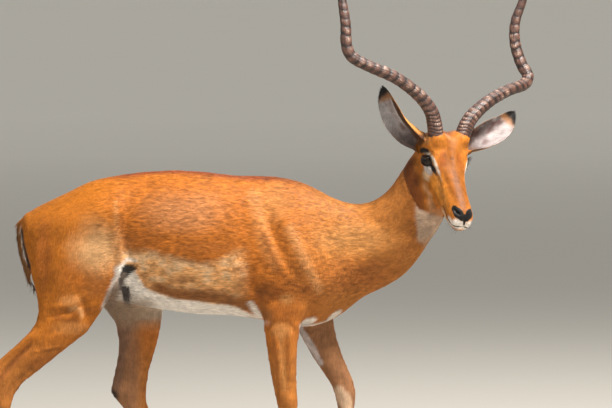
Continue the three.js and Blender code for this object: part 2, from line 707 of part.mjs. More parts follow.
/** Plane of a trunk station: its middle and the way the body runs through it. */
function stationPlane(index) {
  const { top, low, side = 0, turn = 0 } = TRUNK[index];
  const middle = new THREE.Vector3((top[0] + low[0]) / 2, side, (top[1] + low[1]) / 2);
  const up = new THREE.Vector3(top[0] - low[0], 0, top[1] - low[1]);
  const normal = new THREE.Vector3(up.z, 0, -up.x).normalize();
  normal.applyAxisAngle(new THREE.Vector3(0, 0, 1), -rad(turn));
  return { middle, normal };
}

const DOWN = new THREE.Vector3(0, 0, -1);
let trunk = body;
for (const [name, leg] of Object.entries(LEGS)) {
  const foot = leg.stations[leg.stations.length - 1];
  const end = name.startsWith("hind") ? -1 : 1;
  const corner = (height) => new THREE.Vector3(end * LEG_ROOM, leg.sign * LEG_BOX / 2, height);
  const whole = trunk.intersect(beyond(corner(leg.cut - GAP / 2), DOWN, LEG_BOX));
  trunk = trunk.subtract(beyond(corner(leg.cut + GAP / 2), DOWN, LEG_BOX));
  const shank = part(whole, new THREE.Vector3(0, 0, leg.shank), DOWN, SHANK_BOX);
  add(`${name}_upper`, shank.near, COAT, 0.85);
  const middle = leg.sign * foot.side;
  const toe = foot.front[0] + TOE_REACH;
  const claws = [["outer", leg.sign], ["inner", -leg.sign]];
  const cover = legFlesh(leg, GAP);
  for (const [where, side] of claws) {
    const place = name.replace("_leg", "");
    add(`hoof_${place}_${where}`, claw(toe, middle, side).subtract(cover), HOOF_COLOUR, 0.5);
  }
  add(`${name}_lower`, shank.far, COAT, 0.85);
}

const headPlane = stationPlane(HEAD_STATION);
const headCut = part(trunk, headPlane.middle, headPlane.normal, HEAD_BOX);
add("head", headCut.far, COAT, 0.85);
const neckPlane = stationPlane(NECK_STATION);
const neckCut = part(headCut.near, neckPlane.middle, neckPlane.normal, NECK_BOX);
add("neck", neckCut.far, COAT, 0.85);

add("trunk", neckCut.near, COAT, 0.85);
add("tail", tailFlesh(0), COAT, 0.85);

for (const [name, side] of Object.entries(eyes)) add(name, eyeball(side, 0), EYE_COLOUR, 0.1);
for (const [name, line] of horns) add(name, horn(line, 0), HORN_COLOUR, 0.6);
for (const [name, shape] of Object.entries(EARS)) {
  const beside = horn(HORNS[name.replace("ear", "horn")], GAP);
  add(name, ear(shape).subtract(headFlesh(GAP)).subtract(beside), COAT, 0.85);
}

// The model's origin is the bottom centre of its bounding box.
const bounds = new THREE.Box3().setFromObject(root);
root.position.set(
  -(bounds.min.x + bounds.max.x) / 2,
  -(bounds.min.y + bounds.max.y) / 2,
  -bounds.min.z,
);
root.updateMatrixWorld(true);

export default root;
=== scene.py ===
"""Looks of a life-size, still model of a standing impala ram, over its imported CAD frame.

Landmarks are written in design millimetres: +X the way the trunk faces, +Y the animal's left,
+Z up, with the floor at Z = 0. ORIGIN carries them into the frame, in metres.
"""

import logging
import math
from dataclasses import dataclass, field
from enum import Enum

import bmesh
import bpy
import numpy as np
from bpy.types import Material, Mesh, Object, ShaderNode
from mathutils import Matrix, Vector
from mathutils.bvhtree import BVHTree


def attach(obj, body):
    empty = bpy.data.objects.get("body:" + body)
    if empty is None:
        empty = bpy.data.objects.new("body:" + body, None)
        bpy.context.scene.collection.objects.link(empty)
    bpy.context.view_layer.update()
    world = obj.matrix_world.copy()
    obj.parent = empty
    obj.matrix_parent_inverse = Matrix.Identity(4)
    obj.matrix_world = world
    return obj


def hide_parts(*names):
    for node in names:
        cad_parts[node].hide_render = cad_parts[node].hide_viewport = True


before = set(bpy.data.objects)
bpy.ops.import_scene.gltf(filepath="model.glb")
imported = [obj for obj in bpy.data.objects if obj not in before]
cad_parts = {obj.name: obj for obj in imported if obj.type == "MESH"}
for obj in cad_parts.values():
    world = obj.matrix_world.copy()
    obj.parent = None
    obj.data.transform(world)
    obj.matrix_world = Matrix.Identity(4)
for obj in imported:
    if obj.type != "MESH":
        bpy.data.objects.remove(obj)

logging.basicConfig(level=logging.INFO, format="%(message)s")
log = logging.getLogger("impala")

Array = np.ndarray
Point = tuple[float, float, float]
Colour = tuple[float, float, float]
Socket = bpy.types.NodeSocket

# ---- driving sizes ----

ORIGIN = np.array((153.023, 1.267, -0.006))  # frame origin in design millimetres
BODY_DEPTH = 3.2  # depth of the coat on the trunk, in millimetres
FACE_DEPTH = 1.3  # depth of the coat on the face and feet
LIMB_LOSS = 1.1  # what rounding off has already taken from a leg
FACE_LOSS = 0.8  # what it has taken from the face
VOXEL = 0.006  # skin cell before the head is refined, in metres
EYE_RADIUS = 17.5
EYE_SPREAD = 57.0  # middle plane of the head to an eyeball's centre
HORN_COLLAR = 8.0  # how far the skin climbs round the root of a horn
EYE_BACK = 3.0  # how far behind the head's centre the eyes lie
LID_ZONE = 34.0  # radius round an eyeball's centre that its lids shape
BARE_ZONE = 30.0  # radius within which the lid edges are bare
EYE_PLANE = -2.0  # how far ahead of an eyeball's centre its lids begin
FLESH_GROWTH = 0.0006  # closes the gaps between flesh nodes, in metres
HORN_PLUG = 0.0285  # radius of the ball that fills the head under a horn, in metres
CAMERA_TARGET = (292.56, 0.0, 833.52)
CAMERA_REACH = 12.0  # metres
CAMERA_RISE = 2.5  # degrees above the horizontal
CAMERA_LENS = 255.8
SENSOR = 36.0
PATCH = 0.003  # size of a tuft on the OFBake map
MAP_COLUMNS = 4  # cells across the OFBake map, one for each flesh node
MAP_BANDS = 30  # bands along a flesh node that are unwrapped round their own middle
MOST_TUFTS = 48000  # tufts in one piece of the coat
TUFT_SUNK = 0.0007  # how far a tuft's root lies under the skin, in metres
TUFT_RISE = 0.0008  # least height of a tuft's ridge over its root, in metres
SEED = 7

HEAD_CENTRE = np.array((674.0, -80.0, 950.0))  # just before the middle of the eyes
HEAD_ALONG = np.array((0.2339, -0.4931, -0.8380))  # towards the lips
HEAD_UP = np.array((0.4996, -0.6785, 0.5387))  # out of the forehead
HEAD_LEFT = np.array((0.8341, 0.5446, -0.0876))
HEAD_MIDDLE = HEAD_CENTRE + 50.0 * HEAD_ALONG  # middle of the whole head
HEAD_RADIUS = 190.0  # reach of the head round its middle
HEAD_START = -80.0  # where the head begins, along it from its centre
FINE_START = -84.0  # where the skin's finer cells begin
NOSE_START = 142.0  # where its finest cells begin

FLESH = [
    "trunk", "neck", "head", "tail", "ear_right", "ear_left",
    "hind_leg_right_upper", "hind_leg_right_lower", "hind_leg_left_upper", "hind_leg_left_lower",
    "fore_leg_right_upper", "fore_leg_right_lower", "fore_leg_left_upper", "fore_leg_left_lower",
]
HOOVES = [
    f"hoof_{leg}_{side}"
    for leg in ("fore_right", "fore_left", "hind_right", "hind_left")
    for side in ("outer", "inner")
]

# ---- colours, linear ----

SADDLE = (0.45, 0.135, 0.016)
BACK_LINE = (0.20, 0.045, 0.016)
FLANK = (0.80, 0.400, 0.150)
THIGH = (0.47, 0.145, 0.013)
NECK = (0.44, 0.160, 0.032)
SHANK = (0.42, 0.150, 0.030)
FACE = (0.50, 0.165, 0.020)
# painted light on the cheek
CHEEK_PAINTED_LIGHT = (0.80, 0.300, 0.040)
# painted shade on the side of the jaw
JAW_SHADE = (0.12, 0.030, 0.004)
NOSE_BRIDGE = (0.22, 0.078, 0.023)
WHITE = (0.84, 0.76, 0.68)
CREAM = (0.66, 0.48, 0.30)
DARK = (0.020, 0.014, 0.012)
BLACK = (0.008, 0.007, 0.007)
DUSK = (0.20, 0.085, 0.030)
LOW_FLANK_SHADE = (0.25, 0.090, 0.024)
# white throat hair darkened as painted shade
THROAT_IN_SHADE = (0.50, 0.36, 0.26)
# inner sides of the legs: their own colour, darkened as painted shade
INNER_SHANK_AND_SHADE = (0.29, 0.140, 0.068)
NAPE = (0.29, 0.085, 0.012)
PALE_TUFT = (0.76, 0.50, 0.28)
DARK_TUFT = (0.30, 0.125, 0.045)
GROIN = (0.32, 0.23, 0.16)
FAR_GROIN = (0.36, 0.25, 0.165)
# painted shade at the back of the inner hind legs
INNER_HIND_SHADE = (0.12, 0.085, 0.075)
INNER_ELBOW = (0.55, 0.45, 0.36)
CORONET = (0.30, 0.17, 0.09)
TAIL = (0.21, 0.088, 0.026)
EAR_BACK = (0.56, 0.24, 0.060)
# grey of the ear's hollow: partly its own colour, partly painted shade
EAR_HOLLOW_AND_SHADE = (0.17, 0.135, 0.130)
EAR_DOWN = (0.42, 0.36, 0.35)
EAR_SHADE = (0.17, 0.12, 0.115)
EAR_SMUDGE = (0.12, 0.060, 0.055)
EAR_ROOT = (0.10, 0.045, 0.025)
# painted shade under the front flap of the ear
EAR_FLAP_SHADE = (0.085, 0.034, 0.014)
EAR_LINE = (0.52, 0.48, 0.47)
EAR_HEM = (0.40, 0.37, 0.38)
EAR_UPPER_ROOT = (0.10, 0.045, 0.03)
EAR_END = (0.34, 0.15, 0.05)
EAR_LOWER_ROOT = (0.33, 0.27, 0.25)
EYE_RIM = (0.05, 0.036, 0.030)
IRIS = (0.016, 0.008, 0.004)
IRIS_EDGE = (0.010, 0.005, 0.003)
PUPIL = (0.002, 0.002, 0.003)
WHISKER = (0.10, 0.075, 0.06)


# ---- small helpers ----

def to_frame(points: Array) -> Array:
    """Design millimetres as metres in the frame."""
    return (np.asarray(points, float) - ORIGIN) / 1000.0


def to_design(points: Array) -> Array:
    """Metres in the frame as design millimetres."""
    return np.asarray(points, float) * 1000.0 + ORIGIN


def ramp(low: float, high: float, value: Array) -> Array:
    """Rises smoothly from 0 at low to 1 at high; high may be the smaller one."""
    t = np.clip((value - low) / (high - low), 0.0, 1.0)
    return t * t * (3.0 - 2.0 * t)


def unit(vectors: Array) -> Array:
    """Vectors at length one."""
    size = np.linalg.norm(vectors, axis=-1, keepdims=True)
    return vectors / np.maximum(size, 1e-12)


def head_place(points: Array) -> Array:
    """Design points as distances along, up and left of the head's middle."""
    local = points - HEAD_CENTRE
    return np.stack((local @ HEAD_ALONG, local @ HEAD_UP, local @ HEAD_LEFT), axis=-1)


def near_head(points: Array, start: float) -> Array:
    """Whether design points lie on the head, from a distance along it onwards."""
    inside = np.linalg.norm(points - HEAD_MIDDLE, axis=1) < HEAD_RADIUS
    return inside & (head_place(points)[:, 0] > start)


def head_share(points: Array) -> Array:
    """How far design points belong to the head, from 0 on the neck to 1 on the face."""
    reach = np.linalg.norm(points - HEAD_MIDDLE, axis=1)
    return ramp(-110, -60, head_place(points)[:, 0]) * ramp(205, 150, reach)


def head_vector(along: float, up: float, left: float) -> Array:
    """Design vector of a head direction."""
    return along * HEAD_ALONG + up * HEAD_UP + left * HEAD_LEFT


def lay_flat(vectors: Array, normals: Array) -> Array:
    """Vectors turned into the surface that has the given normals, at length one."""
    return unit(vectors - (vectors * normals).sum(1)[:, None] * normals)


def belongs(region: Array, *names: str) -> Array:
    """Whether numbers of flesh nodes are those of the named ones."""
    return np.isin(region, [FLESH.index(name) for name in names])


def blend_in(colour: Array, other: Colour, share: Array) -> None:
    """Mixes a colour into the given ones, in place."""
    colour += (np.asarray(other) - colour) * np.clip(share, 0.0, 1.0)[:, None]


def plain(colour: Colour, count: int) -> Array:
    """One colour for each of a number of places."""
    return np.tile(np.array(colour), (count, 1))


def line_distance(points: Array, line: list[tuple[float, ...]]) -> tuple[Array, Array]:
    """Distance of each point to a line of points, and the share of its length there.

    Args:
        points: (n, k) places.
        line: at least two places of k numbers.

    Returns:
        Distances, and shares from 0 to 1.
    """
    ends = np.asarray(line, float)
    lengths = np.linalg.norm(np.diff(ends, axis=0), axis=1)
    starts = np.concatenate(([0.0], np.cumsum(lengths)))
    best = np.full(len(points), np.inf)
    share = np.zeros(len(points))
    for i, length in enumerate(lengths):
        direction = (ends[i + 1] - ends[i]) / length
        reach = np.clip((points - ends[i]) @ direction, 0.0, length)
        distance = np.linalg.norm(points - ends[i] - reach[:, None] * direction, axis=1)
        nearer = distance < best
        best[nearer] = distance[nearer]
        share[nearer] = (starts[i] + reach[nearer]) / starts[-1]
    return best, share


def noise(points: Array, size: float, seed: int) -> Array:
    """Smooth value noise from -1 to 1.

    Args:
        points: (n, 3) places.
        size: side of a cell, in the points' unit.
        seed: picks one of many patterns.

    Returns:
        A value per point.
    """
    cells = points / size
    base = np.floor(cells).astype(np.int64)
    part = cells - base
    part = part * part * (3.0 - 2.0 * part)
    total = np.zeros(len(points))
    for corner in range(8):
        step = np.array([(corner >> k) & 1 for k in range(3)])
        key = (base + step) @ np.array((73856093, 19349663, 83492791)) + seed * 2654435
        key = (key ^ (key >> 13)) * 1274126177
        value = ((key ^ (key >> 16)) & 0xFFFF) / 32767.5 - 1.0
        weight = np.prod(np.where(step == 1, part, 1.0 - part), axis=1)
        total += weight * value
    return total


def rail(line: list[Point], count: int) -> Array:
    """Evenly spaced points along a smooth curve.

    Args:
        line: the points that it passes through.
        count: how many points to space along it.

    Returns:
        (count, 3) places, the ends among them.
    """
    nodes = np.asarray(line, float)
    padded = np.concatenate(([2 * nodes[0] - nodes[1]], nodes, [2 * nodes[-1] - nodes[-2]]))
    pieces = []
    for i in range(len(nodes) - 1):
        a, b, c, d = padded[i:i + 4]
        t = np.linspace(0.0, 1.0, 24, endpoint=False)[:, None]
        pieces.append(0.5 * (2 * b + (c - a) * t + (2 * a - 5 * b + 4 * c - d) * t ** 2
                             + (3 * b - a - 3 * c + d) * t ** 3))
    dense = np.concatenate(pieces + [nodes[-1:]])
    steps = np.concatenate(([0.0], np.cumsum(np.linalg.norm(np.diff(dense, axis=0), axis=1))))
    wanted = np.linspace(0.0, steps[-1], count)
    return np.stack([np.interp(wanted, steps, dense[:, k]) for k in range(3)], axis=1)


def sweep_axes(path: Array, first: Point) -> tuple[Array, Array]:
    """Two directions across a path that turn as little as they can.

    Args:
        path: (n, 3) places along it.
        first: a way across its start.

    Returns:
        Both directions at each place.
    """
    tangent = unit(np.gradient(path, axis=0))
    across = np.zeros_like(path)
    last = np.asarray(first, float)
    for i, t in enumerate(tangent):
        last = last - (last @ t) * t
        last = last / np.linalg.norm(last)
        across[i] = last
    return across, np.cross(tangent, across)


def tube_faces(rows: int, sides: int) -> list[tuple[int, ...]]:
    """Quads of a tube of rings, with one many-sided face at each end.

    Args:
        rows: number of rings.
        sides: points in a ring.

    Returns:
        The faces as point numbers, both ends last.
    """
    faces = []
    for r in range(rows - 1):
        for i in range(sides):
            j = (i + 1) % sides
            a, b = r * sides + i, r * sides + j
            faces.append((a, b, b + sides, a + sides))
    faces.append(tuple(range(sides))[::-1])
    faces.append(tuple(range((rows - 1) * sides, rows * sides)))
    return faces


def deselect() -> None:
    """Leaves nothing selected."""
    for thing in bpy.context.selected_objects:
        thing.select_set(False)


def activate(thing: Object) -> None:
    """Makes one object the only selected and the active one."""
    deselect()
    thing.select_set(True)
    bpy.context.view_layer.objects.active = thing


def add_object(name: str, data: bpy.types.ID) -> Object:
    """Adds an object to the scene."""
    thing = bpy.data.objects.new(name, data)
    bpy.context.scene.collection.objects.link(thing)
    return thing


def dress(thing: Object, finish: Material) -> None:
    """Gives an object its one material."""
    thing.data.materials.clear()
    thing.data.materials.append(finish)


def apply_modifier(thing: Object, kind: str, **settings) -> None:
    """Adds a modifier with its settings and applies it."""
    activate(thing)
    modifier = thing.modifiers.new(kind.lower(), kind)
    for name, value in settings.items():
        setattr(modifier, name, value)
    bpy.ops.object.modifier_apply(modifier=modifier.name)


def triangulate(mesh: Mesh) -> None:
    """Splits the faces of a mesh into triangles."""
    shape = bmesh.new()
    shape.from_mesh(mesh)
    bmesh.ops.triangulate(shape, faces=shape.faces)
    shape.to_mesh(mesh)
    shape.free()


def new_mesh(name: str, points: Array, faces: list | Array) -> Object:
    """Adds a smooth mesh object from points in the frame's metres.

    Args:
        name: object name.
        points: (n, 3) places.
        faces: a list of index tuples, or an (m, 3) array of triangles.

    Returns:
        The object, linked to the scene.
    """
    mesh = bpy.data.meshes.new(name)
    if isinstance(faces, Array):
        mesh.vertices.add(len(points))
        set_points(mesh, points)
        mesh.loops.add(faces.size)
        mesh.loops.foreach_set("vertex_index", faces.astype(np.int32).ravel())
        mesh.polygons.add(len(faces))
        mesh.polygons.foreach_set("loop_start", np.arange(0, faces.size, 3, dtype=np.int32))
        mesh.update(calc_edges=True)
    else:
        mesh.from_pydata([tuple(p) for p in points], [], faces)
        mesh.update()
    mesh.polygons.foreach_set("use_smooth", [True] * len(mesh.polygons))
    return add_object(name, mesh)


def node_copy(name: str, grow: float) -> Object:
    """Copies a CAD node's mesh and merges it by distance.

    Args:
        name: the node.
        grow: how far to move its skin outwards, in metres.

    Returns:
        The copy, linked to the scene.
    """
    thing = add_object(name + "_copy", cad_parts[name].data.copy())
    shape = bmesh.new()
    shape.from_mesh(thing.data)
    bmesh.ops.remove_doubles(shape, verts=shape.verts, dist=0.00005)
    shape.normal_update()
    for vertex in shape.verts:
        vertex.co += vertex.normal * grow
    shape.to_mesh(thing.data)
    shape.free()
    return thing


def read(items: bpy.types.bpy_prop_collection, key: str, width: int, kind: type) -> Array:
    """Reads one property of all items of a mesh.

    Args:
        items: its vertices, edges, polygons or triangles.
        key: name of the property.
        width: numbers in it.
        kind: type of the numbers.

    Returns:
        A row for each item.
    """
    flat = np.empty(len(items) * width, kind)
    items.foreach_get(key, flat)
    return flat.reshape(-1, width)


def points_of(mesh: Mesh) -> Array:
    """Vertex places of a mesh."""
    return read(mesh.vertices, "co", 3, np.float32).astype(float)


def triangles_of(mesh: Mesh) -> Array:
    """Triangles of a mesh as vertex indices."""
    mesh.calc_loop_triangles()
    return read(mesh.loop_triangles, "vertices", 3, np.int32)


def edges_of(mesh: Mesh) -> Array:
    """Edges of a mesh as vertex indices."""
    return read(mesh.edges, "vertices", 2, np.int32)


def set_points(mesh: Mesh, points: Array) -> None:
    """Moves the vertices of a mesh."""
    mesh.vertices.foreach_set("co", np.ascontiguousarray(points, np.float32).ravel())
    mesh.update()


def vertex_normals(points: Array, triangles: Array) -> Array:
    """Area-weighted vertex normals."""
    a, b, c = (points[triangles[:, k]] for k in range(3))
    face = np.cross(b - a, c - a)
    total = np.zeros_like(points)
    for k in range(3):
        for axis in range(3):
            total[:, axis] += np.bincount(triangles[:, k], face[:, axis], len(points))
    return unit(total)


def relax(values: Array, edges: Array, share: Array | float, rounds: int) -> Array:
    """Moves the value of each vertex towards the mean of its neighbours.

    Args:
        values: (n, k) numbers per vertex.
        edges: (m, 2) neighbours.
        share: how far each goes, one number or one per vertex.
        rounds: how many times.

    Returns:
        The new values.
    """
    count = len(values)
    ends = np.concatenate((edges[:, 0], edges[:, 1]))
    others = np.concatenate((edges[:, 1], edges[:, 0]))
    degree = np.maximum(np.bincount(ends, minlength=count), 1)[:, None]
    weight = np.broadcast_to(np.asarray(share, float).reshape(-1, 1), (count, 1))
    for _ in range(rounds):
        total = np.stack(
            [np.bincount(ends, values[others, k], count) for k in range(values.shape[1])], axis=1)
        values = values + weight * (total / degree - values)
    return values


def set_colour(mesh: Mesh, name: str, colours: Array) -> None:
    """Stores a linear colour per vertex."""
    layer = mesh.color_attributes.new(name, "FLOAT_COLOR", "POINT")
    full = np.ones((len(colours), 4), np.float32)
    full[:, :3] = colours
    layer.data.foreach_set("color", full.ravel())


def set_number(mesh: Mesh, name: str, values: Array) -> None:
    """Stores a number per vertex."""
    layer = mesh.attributes.new(name, "FLOAT", "POINT")
    layer.data.foreach_set("value", np.ascontiguousarray(values, np.float32))


def set_coat(mesh: Mesh, colours: Array, upright: Array, shag: Array) -> None:
    """Stores the colours and the two numbers per vertex that the coat's finish reads."""
    set_colour(mesh, "coat", colours)
    set_number(mesh, "upright", upright)
    set_number(mesh, "shag", shag)


def set_map(mesh: Mesh, places: Array) -> None:
    """Stores the OFBake map from one place per vertex."""
    layer = mesh.uv_layers.new(name="OFBake")
    corner = np.empty(len(mesh.loops), np.int32)
    mesh.loops.foreach_get("vertex_index", corner)
    layer.uv.foreach_set("vector", np.ascontiguousarray(places[corner], np.float32).ravel())


# ---- finishes ----

class Graph:
    """Shader nodes of one material."""

    def __init__(self, name: str) -> None:
        """Starts an empty material."""
        self.material = bpy.data.materials.new(name)
        self.material.use_nodes = True
        self.tree = self.material.node_tree
        self.tree.nodes.clear()

    def add(self, kind: str, inputs: dict | None = None, **settings) -> ShaderNode:
        """Adds a node.

        Args:
            kind: node type without its ShaderNode prefix.
            inputs: socket name or number to a value or to another node's socket.
            settings: properties of the node.

        Returns:
            The node.
        """
        made = self.tree.nodes.new("ShaderNode" + kind)
        for name, value in settings.items():
            setattr(made, name, value)
        for name, value in (inputs or {}).items():
            socket = made.inputs[name]
            if isinstance(value, Socket):
                self.tree.links.new(value, socket)
            else:
                socket.default_value = value
        return made

    def attribute(self, name: str, output: str = "Fac") -> Socket:
        """What the mesh stores under a name."""
        return self.add("Attribute", attribute_name=name).outputs[output]

    def place(self, scale: Point = (1.0, 1.0, 1.0)) -> Socket:
        """Object coordinates, stretched by a scale."""
        where = self.add("TexCoord").outputs["Object"]
        return self.add("Mapping", {"Vector": where, "Scale": scale}).outputs["Vector"]

    def grain(self, where: Socket, scale: float, detail: float = 2.0) -> Socket:
        """Noise from 0 to 1 at a place."""
        return self.add(
            "TexNoise", {"Vector": where, "Scale": scale, "Detail": detail}).outputs["Fac"]

    def spread(self, value: Socket, low: float, high: float,
               start: float = 0.0, end: float = 1.0) -> Socket:
        """Maps a number from one range to another."""
        return self.add("MapRange", {
            "Value": value, "From Min": start, "From Max": end, "To Min": low, "To Max": high,
        }).outputs["Result"]

    def maths(self, operation: str, a: Socket, b: Socket) -> Socket:
        """One operation on two numbers."""
        return self.add("Math", {0: a, 1: b}, operation=operation).outputs[0]

    def between(self, share: Socket, a: Socket, b: Socket) -> Socket:
        """Mixes two numbers."""
        return self.add("Mix", {0: share, 2: a, 3: b}, data_type="FLOAT").outputs[0]

    def mix(self, share: Socket | float, a: Socket | Colour, b: Socket | Colour,
            blend: str = "MIX") -> Socket:
        """Mixes two colours."""
        a, b = (value if isinstance(value, Socket) else (*value, 1.0) for value in (a, b))
        return self.add("Mix", {0: share, 6: a, 7: b}, data_type="RGBA", blend_type=blend).outputs[2]

    def shaded(self, colour: Socket, shade: Socket) -> Socket:
        """Colour multiplied by a number."""
        tint = self.add("CombineColor", {0: shade, 1: shade, 2: shade}).outputs[0]
        return self.mix(1.0, colour, tint, "MULTIPLY")

    def bump(self, height: Socket, strength: float, distance: float,
             under: Socket | None = None) -> Socket:
        """Normal bent by a height, over another bump if there is one."""
        inputs = {"Strength": strength, "Distance": distance, "Height": height}
        if under:
            inputs["Normal"] = under
        return self.add("Bump", inputs).outputs[0]

    def finish(self, inputs: dict) -> Material:
        """Ends the material with a principled surface."""
        surface = self.add("BsdfPrincipled", inputs)
        output = self.add("OutputMaterial")
        self.tree.links.new(surface.outputs[0], output.inputs[0])
        return self.material


@dataclass(frozen=True)
class CoatFinish:
    """Short hair: colour from the mesh, broken by fine streaks along the lie.

    The streaks are strongest where the mesh's "shag" is high, on the trunk and neck.
    """

    name: str
    strand: float = 520.0
    strand_depth: float = 0.0009
    lock_depth: float = 0.003
    roughness: float = 0.5

    def build(self) -> Material:
        """Makes the material."""
        g = Graph(self.name)
        level = g.grain(g.place((0.10, 1.0, 1.0)), self.strand, 3.0)
        hanging = g.grain(g.place((1.0, 1.0, 0.10)), self.strand, 3.0)
        strands = g.between(g.attribute("upright"), level, hanging)
        patches = g.grain(g.place((0.5, 1.0, 0.7)), 70.0, 4.0)
        locks = g.grain(g.place((0.34, 1.0, 0.85)), 150.0, 4.0)
        sleek = g.maths("MULTIPLY", g.spread(strands, 0.74, 1.22, 0.25, 0.75),
                        g.spread(patches, 0.82, 1.14, 0.3, 0.7))
        rough_coat = g.maths("MULTIPLY", g.spread(strands, 0.68, 1.26, 0.25, 0.75),
                             g.spread(locks, 0.64, 1.34, 0.28, 0.72))
        shag = g.attribute("shag")
        shade = g.between(shag, sleek, rough_coat)
        deep = g.maths("MULTIPLY", g.between(shag, patches, locks), g.spread(shag, 0.6, 1.5))
        return g.finish({
            "Base Color": g.shaded(g.attribute("coat", "Color"), shade),
            "Roughness": g.spread(strands, self.roughness - 0.08, self.roughness + 0.16, 0.3, 0.7),
            "Normal": g.bump(deep, 0.5, self.lock_depth, g.bump(strands, 0.5, self.strand_depth)),
            "Specular IOR Level": 0.20, "Sheen Weight": 0.05, "Sheen Roughness": 0.42,
        })


@dataclass(frozen=True)
class HornFinish:
    """Ringed keratin: dark in the grooves, pale on the ridges from wear and painted highlight, with
    long fibres.
    """

    dark: Colour = (0.018, 0.010, 0.009)
    middle: Colour = (0.110, 0.050, 0.034)
    worn_and_highlight: Colour = (0.54, 0.40, 0.32)

    def build(self) -> Material:
        """Makes the material."""
        g = Graph("horn")
        along = {"Vector": g.attribute("fibre", "Vector"), "Scale": (1.0, 1.0, 0.05)}
        fibre = g.grain(g.add("Mapping", along).outputs[0], 420.0, 4.0)
        blotch = g.grain(g.place(), 95.0, 5.0)
        height = g.maths("ADD", g.attribute("ridge"), g.spread(blotch, -0.32, 0.32, 0.25, 0.75))
        base = g.mix(g.spread(height, 0.0, 1.0, 0.12, 0.75), self.dark, self.middle)
        pale = g.maths("MULTIPLY", g.spread(height, 0.0, 1.0, 0.75, 1.25),
                       g.spread(fibre, 0.0, 1.0, 0.42, 0.66))
        return g.finish({
            # pale on the ridges: wear and painted highlight
            "Base Color": g.mix(pale, base, self.worn_and_highlight),
            "Roughness": g.spread(fibre, 0.34, 0.62, 0.3, 0.7),
            "Normal": g.bump(blotch, 0.5, 0.0018, g.bump(fibre, 0.7, 0.0012)),
            "Specular IOR Level": 0.5,
        })


@dataclass(frozen=True)
class HoofFinish:
    """Dark, slightly glossy hoof wall with growth lines and dust towards the floor."""

    dark: Colour = (0.014, 0.011, 0.010)
    light: Colour = (0.050, 0.040, 0.036)
    dust: Colour = (0.22, 0.17, 0.12)

    def build(self) -> Material:
        """Makes the material."""
        g = Graph("hoof")
        lines = g.grain(g.place((0.2, 0.2, 1.0)), 620.0, 3.0)
        cloud = g.grain(g.place(), 120.0, 4.0)
        height = g.add("SeparateXYZ", {0: g.add("TexCoord").outputs["Object"]}).outputs[2]
        dust = g.maths("MULTIPLY", g.spread(height, 1.0, 0.0, 0.0, 0.03),
                       g.spread(cloud, 0.0, 0.8, 0.35, 0.7))
        wall = g.mix(g.spread(cloud, 0.0, 1.0, 0.3, 0.7), self.dark, self.light)
        return g.finish({
            "Base Color": g.mix(dust, wall, self.dust),
            "Roughness": g.spread(lines, 0.25, 0.5, 0.3, 0.7),
            "Normal": g.bump(lines, 0.6, 0.0008),
        })


@dataclass(frozen=True)
class EyeFinish:
    """Very dark brown iris round a level, long pupil under a wet surface."""

    def build(self) -> Material:
        """Makes the material."""
        g = Graph("eye")
        fleck = g.grain(g.place(), 900.0, 3.0)
        shade = g.spread(fleck, 0.75, 1.3, 0.3, 0.7)
        return g.finish({
            "Base Color": g.shaded(g.attribute("coat", "Color"), shade),
            "Roughness": g.spread(fleck, 0.05, 0.10, 0.3, 0.7),
            "Normal": g.bump(g.grain(g.place(), 160.0), 0.06, 0.0003),
            "Coat Weight": 0.25, "Coat Roughness": 0.03, "Specular IOR Level": 0.22, "IOR": 1.376,
        })


@dataclass(frozen=True)
class FloorFinish:
    """Plain pale studio floor."""

    near: Colour = (0.46, 0.435, 0.39)
    far: Colour = (0.93, 0.90, 0.83)

    def build(self) -> Material:
        """Makes the material."""
        g = Graph("floor")
        cloud = g.grain(g.place(), 1.4, 3.0)
        away = g.add("VectorMath", {0: g.place()}, operation="LENGTH").outputs["Value"]
        base = g.mix(g.spread(away, 0.0, 1.0, 2.0, 34.0), self.near, self.far)
        return g.finish({
            "Base Color": g.mix(g.spread(cloud, 0.0, 0.04), base, self.near),
            "Roughness": g.spread(cloud, 0.8, 0.9),
            "Normal": g.bump(g.grain(g.place(), 300.0), 0.05, 0.001),
        })


# ---- markings, with painted highlights and shade ----

@dataclass(frozen=True)
class Dab:
    """Soft patch of colour on the face: place and reach as along, up and out to each side."""

    at: Point
    reach: Point
    colour: Colour
    strength: float = 1.0

    def mask(self, face: Array) -> Array:
        """Share of the colour at each place on the face."""
        distance = np.linalg.norm((face - self.at) / self.reach, axis=1)
        return self.strength * ramp(1.25, 0.6, distance)


@dataclass(frozen=True)
class Streak:
    """Line of colour; on the face it takes three numbers a place, on the body two, X and Z."""

    line: list[tuple[float, ...]]
    width: float
    soft: float
    colour: Colour
    strength: float = 1.0

    def mask(self, places: Array) -> Array:
        """Share of the colour at each place."""
        distance, share = line_distance(places, self.line)
        taper = 0.55 + 0.45 * np.sin(np.pi * np.clip(share, 0.08, 0.92))
        width = self.width * taper
        return self.strength * ramp(1.0, 0.0, (distance - width) / self.soft)


